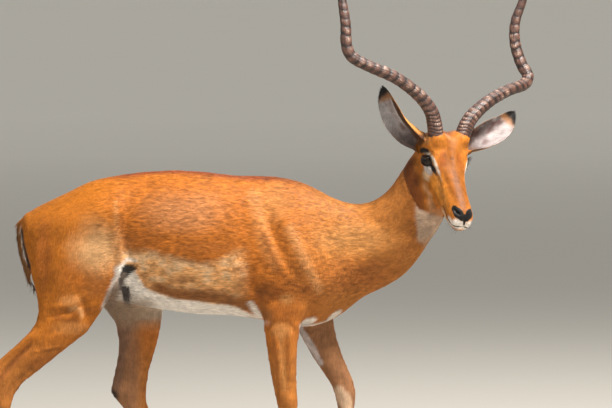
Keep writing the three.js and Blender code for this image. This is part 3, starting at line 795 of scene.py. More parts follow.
FACE_MARKS = [
    Dab((60, 40, 0), (150, 30, 42), (0.27, 0.082, 0.008), 0.92),
    Dab((-34, 34, 30), (22, 24, 30), (0.36, 0.130, 0.020), 0.6),
    Dab((-78, 40, 0), (30, 20, 28), (0.22, 0.062, 0.016), 0.85),
    Dab((-52, 47, 2), (12, 10, 10), (0.42, 0.230, 0.120), 0.4),
    Dab((-50, 32, 58), (20, 18, 16), (0.62, 0.300, 0.110), 0.75),
    Dab((10, 34, 26), (30, 12, 11), (0.30, 0.075, 0.010), 0.6),
    Dab((30, 26, 36), (26, 12, 9), (0.26, 0.065, 0.010), 0.5),
    Dab((12, 41, 3), (5, 8, 3.5), (0.12, 0.040, 0.015), 0.8),
    Dab((112, 40, 0), (88, 26, 11), NOSE_BRIDGE, 0.85),
    # painted light: the cheek made lighter than the rest of the face
    Dab((85, -6, 42), (64, 24, 24), CHEEK_PAINTED_LIGHT, 0.9),
    Dab((-66, 6, 60), (22, 26, 18), (0.085, 0.038, 0.018), 0.85),
    Dab((24, -8, 60), (19, 15, 18), (0.50, 0.46, 0.44), 0.95),
    Dab((31, -28, 54), (17, 13, 18), CREAM, 0.8),
    Streak([(-28, 6, 71), (-16, 18, 68), (-6, 24, 65), (13, 23, 56), (32, 20, 48), (50, 14, 42),
            (66, 12, 37)], 3.8, 3.5, (0.64, 0.53, 0.42), 1.0),
    Dab((46, 15, 42), (13, 5, 6), WHITE, 0.8),
    Streak([(-38, -10, 66), (-28, 9, 70), (-18, 22, 67)], 6.5, 3.0, (0.014, 0.010, 0.009), 1.0),
    Streak([(14, 8, 62), (25, 9, 56), (36, 8, 51), (46, 6, 46)], 5.5, 2.5, (0.014, 0.010, 0.009), 1.0),
    Streak([(46, 6, 45), (78, -4, 36), (112, -8, 34), (140, -14, 33)], 5.0, 9.0, DUSK, 0.5),
    Dab((197, 0, 14), (16, 17, 24), WHITE, 1.0),
    Dab((180, -14, 28), (16, 12, 20), WHITE, 0.85),
    Dab((150, -30, 22), (24, 9, 20), CREAM, 0.7),
    # the white chin painted grey-tan, as painted shade under it
    Dab((190, -34, 0), (32, 19, 32), (0.38, 0.31, 0.26), 0.95),
    Streak([(118, -40, 36), (142, -42, 34), (168, -34, 30)], 5.0, 5.0, (0.66, 0.52, 0.42), 0.75),
    Streak([(158, 17, 23), (174, 21, 17), (189, 21, 7)], 13.0, 2.2, BLACK),
    Streak([(183, 27, 0), (193, 20, 0), (203, 8, 0)], 3.6, 1.8, BLACK),
    Streak([(206, 3, 0), (203, -3, 12), (195, -11, 22), (176, -18, 30), (150, -20, 33),
            (128, -21, 34)], 2.0, 1.8, DARK, 0.95),
]

# Along and up on the head: the upper edge of the painted shade on the side of the jaw.
JAW_LINE = [(-40, -36), (25, -41), (77, -56), (110, -80), (130, -95)]

# Lines over the side of the body as X and Z: stripes, tufts, painted highlights and painted shade.
BODY_MARKS = [
    Streak([(-489, 770), (-486, 734), (-477, 693), (-469, 651), (-461, 624), (-448, 580)],
           3.2, 3.5, BLACK, 0.95),
    Streak([(-200, 704), (-150, 706), (-60, 690), (0, 676), (60, 676), (112, 706)],
           4.0, 16.0, DUSK, 0.30),
    Streak([(143, 566), (154, 545), (172, 512)], 6.0, 5.0, WHITE, 0.9),
    Streak([(282, 505), (298, 512), (316, 518)], 8.0, 4.0, WHITE, 0.95),
    Streak([(360, 520), (372, 529), (388, 540)], 5.5, 4.0, WHITE, 0.9),
    # painted highlights on the two ridges of the shoulder, with painted shade in the groove between
    # them
    Streak([(150, 860), (167, 790), (184, 724), (211, 675)], 7.0, 24.0, (0.60, 0.27, 0.09), 0.4),
    Streak([(176, 758), (198, 710), (224, 658), (254, 623), (300, 606)], 3.5, 8.0,
           (0.21, 0.062, 0.010), 0.6),
    Streak([(250, 770), (272, 723), (302, 658), (329, 606)], 4.0, 20.0, (0.64, 0.31, 0.115), 0.5),
    # painted shade round the top of the forearm and in two lines down it, with a painted highlight
    # between those lines
    Streak([(189, 494), (203, 516), (226, 523), (249, 517), (263, 494)], 2.5, 6.0,
           (0.22, 0.065, 0.010), 0.6),
    Streak([(200, 490), (206, 440), (214, 390), (220, 300)], 2.0, 6.0, (0.24, 0.072, 0.012), 0.55),
    Streak([(240, 480), (243, 420), (246, 350)], 2.5, 6.0, (0.24, 0.072, 0.012), 0.5),
    Streak([(224, 476), (228, 400), (234, 330)], 3.0, 9.0, (0.58, 0.28, 0.09), 0.35),
    # painted shade in the crease before the thigh, and a painted highlight on the ridge behind it
    Streak([(-214, 806), (-210, 760), (-200, 712)], 3.0, 10.0, (0.23, 0.068, 0.012), 0.6),
    Streak([(-226, 846), (-225, 790), (-222, 735)], 3.0, 7.0, (0.62, 0.29, 0.10), 0.5),
    Streak([(-276, 775), (-262, 786)], 2.0, 5.0, (0.22, 0.066, 0.012), 0.55),
    # a painted highlight on the stifle, and painted shade below it
    Streak([(-354, 550), (-338, 557), (-324, 547), (-320, 530)], 3.0, 6.0, (0.64, 0.33, 0.13), 0.6),
    Streak([(-392, 530), (-362, 519), (-333, 521)], 3.0, 7.0, (0.20, 0.058, 0.010), 0.6),
    Streak([(-172, 682), (-196, 686), (-216, 662), (-238, 610), (-264, 556)], 3.0, 4.0, WHITE, 0.8),
    # painted shade, grey-brown, low between the hind leg and the belly
    Streak([(-226, 606), (-240, 576), (-250, 556)], 14.0, 8.0, (0.22, 0.16, 0.12), 0.9),
    # painted shade in the hollow between the Achilles tendon and the shin
    Streak([(-462, 452), (-504, 410), (-545, 362)], 4.0, 7.0, (0.20, 0.060, 0.012), 0.75),
    Streak([(-384, 441), (-415, 436), (-440, 440)], 1.5, 3.0, (0.24, 0.075, 0.015), 0.6),
    # black painted shadow in the fold between the flank and the thigh
    Streak([(-207, 642), (-196, 657), (-183, 662)], 13.0, 5.0, BLACK, 0.97),
    Streak([(-218, 620), (-212, 632), (-204, 644)], 6.0, 5.0, (0.20, 0.15, 0.12), 0.9),
    Streak([(-216, 630), (-211, 612), (-206, 596)], 5.0, 8.0, (0.07, 0.05, 0.042), 0.85),
    Streak([(-206, 600), (-202, 580), (-198, 560)], 3.0, 9.0, (0.14, 0.11, 0.09), 0.6),
]

INNER_MARKS = [
    Streak([(276, 490), (303, 444), (334, 390)], 7.0, 5.0, (0.56, 0.50, 0.49), 0.85),
    Streak([(384, 312), (398, 290), (408, 262)], 14.0, 12.0, (0.66, 0.46, 0.31), 0.75),
]

# Middle and reach as X and Z on the side of the body, colour and strength; some are painted highlights
# and painted shade.
BODY_DABS = [
    # painted highlight on the front of the thigh
    ((-275, 715), (82, 84), (0.62, 0.36, 0.165), 0.85),
    # painted shade down the back of the haunch
    ((-424, 700), (24, 110), (0.34, 0.095, 0.016), 0.55),
    # painted shade on the lower front of the thigh
    ((-282, 610), (56, 44), (0.28, 0.092, 0.020), 0.65),
    # painted highlight on the stifle
    ((-350, 575), (40, 22), (0.56, 0.28, 0.11), 0.5),
    # painted shade below the stifle
    ((-330, 545), (80, 24), (0.24, 0.072, 0.012), 0.6),
    ((-345, 640), (60, 50), (0.33, 0.098, 0.014), 0.55),
    # painted highlight on the top of the gaskin
    ((-350, 500), (50, 26), (0.54, 0.250, 0.085), 0.45),
    # painted shade on the lower gaskin
    ((-420, 405), (70, 22), (0.28, 0.088, 0.016), 0.5),
    ((-150, 740), (60, 24), (0.32, 0.095, 0.016), 0.4),
    ((10, 720), (120, 22), (0.33, 0.105, 0.020), 0.5),
    ((-40, 815), (130, 60), (0.50, 0.23, 0.10), 0.5),
    ((205, 840), (55, 60), (0.52, 0.24, 0.08), 0.45),
    ((230, 596), (70, 44), (0.25, 0.074, 0.012), 0.45),
    ((172, 590), (26, 30), (0.17, 0.052, 0.010), 0.6),
    ((240, 579), (22, 16), (0.58, 0.28, 0.09), 0.5),
    # painted shade above the elbow
    ((228, 541), (58, 18), (0.25, 0.074, 0.012), 0.55),
    # painted highlight on the dome at the top of the forearm
    ((226, 492), (30, 26), (0.56, 0.27, 0.09), 0.55),
    ((121, 657), (20, 24), (0.27, 0.125, 0.065), 0.6),
    ((420, 640), (140, 60), (0.36, 0.110, 0.022), 0.6),
    ((430, 740), (120, 50), (0.50, 0.25, 0.085), 0.5),
    ((100, 640), (44, 46), (0.36, 0.17, 0.075), 0.5),
]

# X and Z along the lower edges of the saddle and of the flank.
SADDLE_EDGE = [(-260, 712), (-193, 706), (-110, 704), (-55, 690), (0, 674), (41, 676), (112, 716)]
BELLY_EDGE = [
    (-200, 668), (-174, 657), (-166, 640), (-152, 616), (-138, 604), (-110, 591), (-83, 582),
    (-55, 574), (0, 568), (41, 563), (83, 558), (110, 549), (138, 536), (166, 522), (200, 508),
]

HOCKS = [(-245, 300, 1), (-572, 385, -1)]  # X, Z and side of the dark spots below the hocks


@dataclass(frozen=True)
class Ear:
    """Leaf-shaped ear cupped towards the way it faces, as in the CAD but finer."""

    name: str
    line: list[Point]
    faces: Point
    side: int
    half_width: float = 37.0
    thickness: float = 2.6
    arcs: tuple[float, float] = (125, 48)
    steps: int = 46
    slices: int = 30
    sunk: int = 5
    root_width: float = 0.45
    flap: float = 0.0
    pale: float = 0.85
    smudges: tuple[Point, ...] = (
        (0.57, 7.0, 9.0), (0.69, 2.0, 9.0), (0.47, -1.0, 8.0), (0.31, -20.0, 11.0), (0.26, 13.0, 10.0),
    )

    def axis(self) -> Array:
        """Way from the root to the tip."""
        return unit(np.asarray(self.line[-1], float) - np.asarray(self.line[0], float))

    def width(self, share: float) -> float:
        """Half width at a share of the length."""
        least = self.root_width if share < 0.45 else 0.45
        base = least + (1.0 - least) * math.sin(math.pi * min(1.0, share * 0.83 + 0.13))
        return self.half_width * base * math.sqrt(max(0.01, 1.0 - share ** 8)) - 1.0

    def shell(self) -> tuple[Array, list[tuple[int, ...]]]:
        """Points in design millimetres and faces of the closed ear."""
        path = rail(self.line, self.steps + 1)
        sunk = [path[0] - (path[1] - path[0]) * k * 1.6 for k in range(self.sunk, 0, -1)]
        path = np.concatenate((sunk, path))
        tangent = unit(np.gradient(path, axis=0))
        points = []
        for i, (middle, axis) in enumerate(zip(path, tangent)):
            share = max(0.0, (i - self.sunk) / self.steps)
            across = np.cross(self.faces, axis)
            across /= np.linalg.norm(across)
            hollow = np.cross(axis, across)
            arc = math.radians(self.arcs[0] + (self.arcs[1] - self.arcs[0]) * min(1.0, share * 1.6))
            radius = self.width(share) / math.sin(min(arc, math.pi / 2))
            centre = middle + hollow * (radius * (1 + math.cos(arc)) / 2)
            place = np.linspace(-1, 1, self.slices + 1)
            angle = arc * place
            thick = self.thickness * (1 - 0.35 * share) * (1 - 0.6 * place ** 4)
            for reach, order in ((radius - 1.0, 1), (radius - 1.0 - thick, -1)):
                edge = (centre + np.outer(np.sin(angle) * reach, across)
                        - np.outer(np.cos(angle) * reach, hollow))
                points.append(edge[::order])
        count = 2 * (self.slices + 1)
        rows = len(path)
        faces = tube_faces(rows, count)[:-2]
        for first, flip in ((0, True), ((rows - 1) * count, False)):
            for k in range(self.slices):
                quad = (first + k, first + k + 1, first + count - 2 - k, first + count - 1 - k)
                faces.append(quad[::-1] if flip else quad)
        points = np.concatenate(points)
        quads = points[np.array(faces)] - points.mean(axis=0)
        halves = ((0, 1, 2), (0, 2, 3))
        volume = sum(np.linalg.det(quads[:, half]).sum() for half in halves)
        return points, faces if volume > 0 else [face[::-1] for face in faces]

    def paint(self, points: Array, normals: Array) -> Array:
        """Colours: orange back, pale streaked inside with painted shade in the hollow and under the
        front flap, and a black tip.
        """
        path = rail(self.line, 14)
        root = np.asarray(self.line[0], float)
        across = unit(np.cross(self.faces, self.axis()))
        blurred = points + 3.0 * np.stack([noise(points, 9.0, seed) for seed in (31, 32, 33)], axis=1)
        _, share = line_distance(points, path)
        _, along = line_distance(blurred, path)
        upper = self.side * ((points - root) @ across)
        off = self.side * ((blurred - root) @ across)
        pale = ramp(10, -12, off + 6.0 * noise(points, 14.0, 34)) * ramp(0.12, 0.3, along)
        low_side = self.flap * ramp(-10, -24, upper)
        edge = np.interp(share, (0.0, 0.3, 0.4, 0.6, 0.85), (-15.0, -13.0, -11.0, -3.0, 6.0))
        line = ramp(3.5, 1.5, np.abs(upper - edge + 2.0)) * ramp(0.2, 0.4, share)
        hem = ramp(-20, -27, upper) * ramp(0.3, 0.45, share)
        smudges = [
            (EAR_SMUDGE, 0.85 * ramp(
                1.15, 0.35, np.hypot((along - place) / 0.085, (off - height) / reach)))
            for place, height, reach in self.smudges
        ]
        # grey of the hollow: partly its own colour, partly painted shade
        inner = plain(EAR_HOLLOW_AND_SHADE, len(points))
        for tone, strength in (
            (EAR_DOWN, self.pale * pale),
            (EAR_DOWN, 0.7 * self.pale * ramp(0.1, 0.6, noise(points, 8.0, 35))),
            (EAR_SHADE, 0.55 * ramp(0.15, 0.7, noise(points, 6.0, 36))),
            *smudges,
            (EAR_ROOT, 0.8 * ramp(0.20, 0.05, share) * (1.0 - low_side)),
            # painted shade under the front flap
            (EAR_FLAP_SHADE, 0.95 * self.flap * ramp(edge - 3, edge + 4, upper)),
            (EAR_LINE, 0.8 * self.flap * line),
            (EAR_HEM, 0.7 * self.flap * hem),
            (EAR_UPPER_ROOT, 0.8 * ramp(0.34, 0.12, share) * ramp(4, 18, upper)),
            (EAR_END, 0.85 * ramp(0.74, 0.82, share)),
        ):
            blend_in(inner, tone, strength)
        colour = plain(EAR_BACK, len(points))
        blend_in(colour, EAR_LOWER_ROOT, 0.9 * low_side * ramp(0.34, 0.18, share))
        inside = ramp(-0.05, 0.35, normals @ unit(np.asarray(self.faces, float)))
        colour += (inner - colour) * inside[:, None]
        rim = (upper / 34.0) ** 2
        tip = ramp(0.84, 0.90, share + 0.02 * noise(points, 14.0, 5) + 0.07 * rim)
        return colour + (np.array(BLACK) * 1.4 - colour) * tip[:, None]


EARS = [
    Ear("ear_right", [(604, -84, 1010), (570, -94, 1036), (540, -104, 1069), (519, -114, 1111),
                      (503, -124, 1160)],
        (-0.46, -0.8, -0.37), -1, root_width=0.62, flap=1.0, pale=0.75),
    Ear("ear_left", [(738, -30, 996), (788, -2, 1021), (833, 22, 1046), (867, 42, 1087)],
        (0.12, -0.97, 0.2), 1),
]


def face_place(points: Array) -> Array:
    """Places on the face as along, up and distance from its middle line."""
    face = head_place(points)
    shift = 8.0 * ramp(-20.0, 30.0, face[:, 1]) * ramp(60.0, 30.0, np.abs(face[:, 2]))
    face[:, 2] = np.abs(face[:, 2] + shift)
    return face


@dataclass(frozen=True)
class Markings:
    """The animal's pattern, with painted highlights and painted shade, as colours at places on its
    body.
    """

    def trunk(self, p: Array, n: Array) -> Array:
        """Colours of the trunk, neck and legs."""
        x, y, z = p.T
        wobble = 5.0 * noise(p, 45.0, 2) + 2.5 * noise(p, 12.0, 3)
        colour = plain(SADDLE, len(p))
        spine = ramp(42 + wobble, 16 + wobble, np.abs(y)) * ramp(0.4, 0.9, n[:, 2])
        blend_in(colour, BACK_LINE, 0.9 * spine * ramp(420, 230, x))
        blend_in(colour, THIGH, ramp(-190, -290, x))
        blend_in(colour, NECK, ramp(180, 400, x))
        blend_in(colour, NAPE, 0.5 * ramp(540, 600, x) * ramp(700, 760, z))
        blend_in(colour, SHANK, ramp(540, 330, z))
        outward = ramp(0.1, 0.5, n[:, 1] * np.sign(y))
        for at, reach, tone, strength in BODY_DABS:
            distance = np.hypot((x - at[0]) / reach[0], (z - at[1]) / reach[1]) + 0.03 * wobble
            blend_in(colour, tone, strength * outward * ramp(1.3, 0.3, distance))
        self.flank(colour, p, wobble)
        self.insides(colour, p, n, wobble)
        self.ends(colour, p, n, wobble)
        return colour

    def flank(self, colour: Array, p: Array, wobble: Array) -> None:
        """Adds the pale flank, the white belly and the shade between them."""
        x, _, z = p.T
        rear = self.rear_place(p)
        edge = np.interp(rear, *zip(*SADDLE_EDGE))
        span = ramp(-235, -190, rear) * ramp(150, 80, x)
        flank = span * ramp(edge + 14, edge - 12, z + wobble) * ramp(525, 555, z)
        blend_in(colour, FLANK, flank)
        tufted = noise(p * (0.6, 1.0, 1.0), 15.0, 17) + 0.5 * noise(p, 7.0, 18)
        tufted += 0.5 * ramp(edge - 70, edge - 15, z) - 0.1
        blend_in(colour, PALE_TUFT, 0.8 * flank * ramp(0.0, 0.6, tufted))
        blend_in(colour, DARK_TUFT, 0.7 * flank * ramp(-0.1, -0.6, tufted))
        belly = np.interp(rear, *zip(*BELLY_EDGE))
        span = ramp(-236, -216, rear) * ramp(215, 190, x) * ramp(505, 528, z)
        blend_in(colour, WHITE, span * ramp(belly + 5, belly - 5, z + 0.6 * wobble))
        groin = ramp(592, 556, z) * ramp(-95, -150, x)
        blend_in(colour, GROIN, 0.85 * span * groin)
        # painted shade on the low flank, where it curves under towards the belly
        low = ramp(belly + 46, belly + 22, z + wobble) * ramp(belly, belly + 6, z)
        blend_in(colour, LOW_FLANK_SHADE, 0.9 * span * low * ramp(-150, -110, rear))

    def insides(self, colour: Array, p: Array, n: Array, wobble: Array) -> None:
        """Adds the paler colours of the inner sides of the legs, darkened in part as painted shade."""
        x, y, z = p.T
        inner = ramp(0.0, -0.4, n[:, 1] * np.sign(y)) * ramp(680, 640, z)
        inner *= np.maximum(ramp(-150, -190, x), ramp(170, 200, x))
        # the inner sides of the legs, their paler colour darkened as painted shade, with more painted
        # shade at the back of the hind legs
        blend_in(colour, INNER_SHANK_AND_SHADE, 0.85 * inner)
        blend_in(colour, INNER_HIND_SHADE, 0.5 * inner * ramp(-190, -215, x + 0.2 * (430 - z)))
        blend_in(colour, INNER_ELBOW, 0.8 * inner * ramp(545, 610, z + 2 * wobble))
        for mark in INNER_MARKS:
            blend_in(colour, mark.colour, inner * mark.mask(p[:, (0, 2)]))
        far = ramp(15, 30, y) * ramp(-0.1, -0.4, n[:, 1]) * ramp(590, 560, z)
        far *= 0.8 * ramp(-40, -70, x) * ramp(468, 530, z)
        blend_in(colour, FAR_GROIN, far)

    def ends(self, colour: Array, p: Array, n: Array, wobble: Array) -> None:
        """Adds the pale chest and rump, and the white throat painted tan as shade."""
        x, y, z = p.T
        chest = ramp(-0.78, -0.95, n[:, 2]) * ramp(560, 530, z)
        chest *= ramp(175, 200, x) * ramp(390, 360, x) * ramp(480, 495, z)
        blend_in(colour, WHITE, 0.9 * chest)
        rump = ramp(-0.6, -0.85, n[:, 0]) * ramp(30, 20, np.abs(y))
        rump *= ramp(-400, -440, x) * ramp(790, 740, z) * ramp(500, 560, z)
        blend_in(colour, WHITE, rump)
        # the throat, painted tan as white hair in shade
        throat = ramp(-4, 6, x - np.interp(z, (700, 740, 840), (640, 600, 594)) + 0.5 * wobble)
        throat *= ramp(690, 760, z + 2 * wobble) * ramp(880, 845, z)
        blend_in(colour, THROAT_IN_SHADE, 0.92 * throat)

    @staticmethod
    def rear_place(p: Array) -> Array:
        """X as seen by the markings, drawn back on the left where the hind leg is forward."""
        x, y, _ = p.T
        left = ramp(35, 70, y) * ramp(150, -60, x) * ramp(-420, -330, x)
        return x - 100.0 * left

    def body_marks(self, colour: Array, p: Array, n: Array) -> None:
        """Adds the dark stripes, spots and tufts of the trunk and legs, and painted highlights and
        shade on its muscles and folds.
        """
        x, y, z = p.T
        flat = np.stack((self.rear_place(p), z), axis=1)
        outward = np.maximum(ramp(0.1, 0.35, n[:, 1] * np.sign(y)), 0.5)
        for mark in BODY_MARKS:
            blend_in(colour, mark.colour, mark.mask(flat) * outward)
        for hock_x, hock_z, side in HOCKS:
            near = np.hypot(x - hock_x, z - hock_z)
            blend_in(colour, DARK, 0.85 * ramp(20, 9, near) * (np.sign(y) == side))
        blend_in(colour, CORONET, 0.6 * ramp(50, 36, z))

    def head(self, colour: Array, p: Array) -> Array:
        """Colours of the head."""
        face = face_place(p)
        along, up = face[:, 0], face[:, 1]
        blend_in(colour, FACE, ramp(-80, -55, along))
        # Painted shade on the side of the jaw below JAW_LINE, strong on the right side and faint on the
        # left, with a faint cream line along its upper edge.
        jaw = up - np.interp(along, *zip(*JAW_LINE)) + 2.5 * noise(p, 16.0, 41)
        jaw_span = ramp(-70, -30, along) * ramp(160, 130, along)
        shade = np.where(head_place(p)[:, 2] < 0, 0.92, 0.3)
        blend_in(colour, JAW_SHADE, shade * jaw_span * ramp(4, -20, jaw))
        edge = jaw_span * ramp(20, 60, along) * ramp(8, 1, np.abs(jaw))
        blend_in(colour, CREAM, 0.32 * edge)
        # the throat below the jaw, painted tan as white hair in shade
        throat = p[:, 2] - 825.0 + 0.35 * (p[:, 0] - 593.0) + 3.0 * noise(p, 20.0, 42)
        below = ramp(-45, -62, up) * ramp(150, 132, along)
        blend_in(colour, THROAT_IN_SHADE, 0.9 * ramp(5, -5, throat) * below)
        for mark in FACE_MARKS:
            blend_in(colour, mark.colour, mark.mask(face))
        return colour

    def tail(self, p: Array, n: Array) -> Array:
        """Colours of the tail: white below, with a dark line down the back."""
        tail = plain(TAIL, len(p))
        out = np.abs(p[:, 1])
        blend_in(tail, WHITE, 0.85 * ramp(0.55, 0.85, n[:, 0]) * ramp(7, 3, out))
        rear = ramp(-0.3, -0.7, n[:, 0]) * ramp(9, 4, out)
        blend_in(tail, DARK, rear * ramp(790, 750, p[:, 2]))
        blend_in(tail, THIGH, ramp(776, 796, p[:, 2]))
        return tail

    def paint(self, p: Array, n: Array, region: Array) -> Array:
        """Colours of the whole skin.

        Args:
            p: (n, 3) design places.
            n: their normals.
            region: number in FLESH of the node that each belongs to.

        Returns:
            A colour per place.
        """
        colour = self.trunk(p, n)
        self.body_marks(colour, p, n)
        on_head = belongs(region, "head")
        colour[on_head] = self.head(colour[on_head], p[on_head])
        on_tail = belongs(region, "tail")
        colour[on_tail] = self.tail(p[on_tail], n[on_tail])
        for ear in EARS:
            on_ear = belongs(region, ear.name)
            colour[on_ear] = ear.paint(p[on_ear], n[on_ear])
        small = 0.08 + 0.09 * on_head
        shade = 1.0 + 0.08 * noise(p, 30.0, 11) + small * (noise(p, 9.0, 12) + 0.8 * noise(p, 4.5, 13))
        limb = ramp(560, 480, p[:, 2])
        shade += 0.11 * limb * noise(p * (1.0, 1.0, 0.22), 6.0, 14)
        on_neck = ramp(330, 430, p[:, 0]) * ~on_head * ramp(560, 600, p[:, 2])
        shade += 0.10 * on_neck * (noise(p, 14.0, 15) + noise(p, 6.0, 16))
        return colour * shade[:, None]


# ---- skin ----

@dataclass(frozen=True)
class Fold:
    """Ridge or groove of the flesh along a line; depth is outwards, in millimetres.

    A line of two numbers a place runs over the side of the body as X and Z, one of three
    over the face as along, up and out to each side.
    """

    line: list[tuple[float, ...]]
    width: float
    depth: float
    side: int = 0

    def push(self, places: Array) -> Array:
        """How far each place moves."""
        distance, share = line_distance(places, self.line)
        fade = np.sin(np.pi * np.clip(share * 0.84 + 0.08, 0.0, 1.0)) ** 0.6
        return self.depth * fade * np.exp(-((distance / self.width) ** 2))


BODY_FOLDS = [
    Fold([(141, 852), (158, 800), (182, 735), (212, 675), (238, 625)], 30, 3.0),
    Fold([(180, 812), (204, 745), (234, 680), (266, 628)], 17, -4.4),
    Fold([(238, 790), (270, 715), (298, 665), (322, 606)], 22, 5.5),
    Fold([(334, 800), (352, 730), (350, 660), (340, 610)], 26, -5.0),
    Fold([(196, 880), (240, 876), (290, 866)], 18, 2.0),
    Fold([(132, 612), (160, 588), (210, 572)], 16, -4.0),
    Fold([(160, 640), (200, 606), (250, 590), (310, 600)], 22, 3.5),
    Fold([(112, 720), (134, 660), (150, 612)], 22, -3.5),
    Fold([(-236, 880), (-220, 842), (-218, 800), (-226, 752), (-222, 716)], 20, 2.4),
    Fold([(-200, 800), (-206, 760), (-200, 715), (-186, 680)], 16, -5.0),
    Fold([(-214, 700), (-224, 640), (-246, 588), (-272, 540)], 12, 4.0),
    Fold([(-330, 590), (-317, 560), (-306, 515)], 13, -3.6),
    Fold([(-290, 790), (-320, 700), (-345, 620), (-372, 550)], 24, -3.2),
    Fold([(-410, 790), (-424, 710), (-418, 630), (-410, 560)], 20, -2.6),
    Fold([(-340, 790), (-372, 700), (-386, 620)], 34, 3.0),
    Fold([(-380, 446), (-420, 441), (-470, 430)], 4, 1.8),
    Fold([(-458, 456), (-504, 412), (-548, 364)], 11, -8.0, -1),
    Fold([(-452, 486), (-504, 440), (-560, 392)], 6, 3.0, -1),
    Fold([(-420, 440), (-470, 400), (-524, 340)], 12, 3.0, -1),
    Fold([(-310, 590), (-350, 560), (-400, 556)], 9, 3.0),
    Fold([(-300, 574), (-350, 540), (-410, 528)], 7, -3.4),
    Fold([(-226, 430), (-232, 390), (-240, 350)], 4, 2.4, 1),
    Fold([(-205, 420), (-212, 385), (-222, 345)], 6, -4.0, 1),
    Fold([(222, 480), (228, 420), (234, 365)], 7, -2.6),
    Fold([(250, 490), (252, 420), (254, 360)], 8, 2.2),
    Fold([(244, 312), (243, 290), (241, 272)], 13, 3.0),
    Fold([(420, 800), (500, 780), (560, 800), (610, 840)], 20, -3.0),
    Fold([(400, 640), (480, 690), (560, 740), (610, 790)], 20, 3.4),
    Fold([(372, 690), (440, 720), (520, 770)], 16, -2.4),
    Fold([(340, 600), (372, 640), (396, 690)], 18, 3.0),
    Fold([(70, 760), (48, 700), (12, 640)], 14, -1.0),
    Fold([(-52, 760), (-78, 700), (-110, 650)], 14, -1.0),
]

FACE_FOLDS = [
    Fold([(-30, 30, 60), (-10, 32, 62), (12, 29, 58), (30, 22, 51)], 7, 3.0),
    Fold([(-26, -14, 66), (-6, -19, 66), (16, -14, 61), (34, -4, 53)], 4, -1.6),
    Fold([(36, 10, 48), (58, 4, 42), (78, -2, 38)], 7, -3.2),
    Fold([(20, -22, 60), (60, -24, 50), (100, -20, 42)], 9, 3.0),
    Fold([(60, 22, 28), (100, 22, 24), (140, 24, 22)], 8, -1.6),
    Fold([(-40, 44, 20), (-10, 44, 16), (30, 42, 12)], 10, 1.8),
    Fold([(-34, 46, 0), (0, 46, 0), (40, 42, 0)], 7, -1.6),
    Fold([(206, 3, 0), (203, -3, 12), (195, -11, 22), (176, -18, 30), (150, -20, 33),
          (128, -21, 34)], 2.4, -2.6),
    Fold([(203, 12, 8), (198, 3, 18), (186, -6, 27)], 7, 2.0),
    Fold([(150, 24, 26), (163, 29, 20), (176, 31, 10)], 5, 2.2),
    Fold([(156, 17, 27), (167, 19, 23), (178, 22, 14)], 3.6, -6.5),
    Fold([(190, 21, 0), (198, 14, 0), (206, 4, 0)], 1.8, -2.2),
    Fold([(202, -16, 0), (199, -20, 12), (190, -26, 20)], 5, -1.5),
    Fold([(10, -60, 62), (50, -52, 52), (80, -48, 44)], 9, 2.4),
]


@dataclass(frozen=True)
class Lids:
    """Opening between the eyelids of one eye, measured as angles on its ball."""

    side: int
    half_length: float = 1.24
    upper: float = 0.82
    lower: float = 0.68
    rim: float = 1.3
    sunk: float = 4.0

    def frame(self) -> tuple[Array, Array, Array, Array]:
        """Ball centre and the directions it looks, of its length and of its height."""
        centre = HEAD_CENTRE - EYE_BACK * HEAD_ALONG + self.side * EYE_SPREAD * HEAD_LEFT
        look = unit(head_vector(0.34, 0.36, 0.86 * self.side))
        length = head_vector(0.93, 0.26, -0.18 * self.side)
        length = unit(length - (length @ look) * look)
        height = np.cross(look, length) * -self.side
        if height @ HEAD_UP < 0:
            height = -height
        return centre, look, length, height

    def arch(self, share: Array) -> Array:
        """Height of a lid's edge at a share of the half length, against its height in the middle."""
        return (1.0 - share ** 2.1) ** 0.8

    def measure(self, points: Array) -> tuple[Array, Array, Array, Array]:
        """Measures points against the ball.

        Args:
            points: (n, 3) design places.

        Returns:
            Distance from its centre, how far ahead of it, angle along the opening, and angle
            past the edges of the lids.
        """
        centre, look, length, height = self.frame()
        local = points - centre
        ahead = local @ look
        along = np.arctan2(local @ length, ahead)
        up = np.arctan2(local @ height, ahead)
        share = np.clip(np.abs(along) / self.half_length, 0.0, 1.0)
        edge = np.where(up > 0, self.upper, self.lower) * self.arch(share)
        outside = np.maximum(np.abs(up) - edge, np.abs(along) - self.half_length)
        return np.linalg.norm(local, axis=1), ahead, along, outside

    def shape(self, points: Array) -> Array:
        """Moves skin points near the ball to the lids or into the ball behind the opening."""
        centre = self.frame()[0]
        reach, ahead, _, outside = self.measure(points)
        lid = EYE_RADIUS + self.rim + 1.1 * np.exp(-((outside - 0.14) / 0.10) ** 2)
        target = lid + (reach - lid) * ramp(0.20, 0.62, outside)
        target = np.where(outside < 0.0, EYE_RADIUS - self.sunk, target)
        target = np.where((reach < LID_ZONE) & (ahead > EYE_PLANE), target, reach)
        return centre + unit(points - centre) * target[:, None]

    def rim_mask(self, points: Array) -> Array:
        """Share of dark, bare skin at the lid edges."""
        reach, ahead, along, outside = self.measure(points)
        front = ramp(0.3, 1.0, along)
        dark = ramp(0.38 + 0.20 * front, 0.20, outside)
        return dark * (reach < BARE_ZONE) * (ahead > EYE_PLANE)


LIDS = [Lids(-1), Lids(1)]
HORN_PLUGS = [(650, -108, 1006), (713, -64, 1006)]
HORN_ROOTS = [((652, -106, 994), (643, -113, 1058)), ((710, -66, 998), (735, -48, 1056))]


def unset(*shape: int) -> Array:
    """Array that the skin fills in as it is built."""
    return field(default_factory=lambda: np.zeros((0, *shape)))


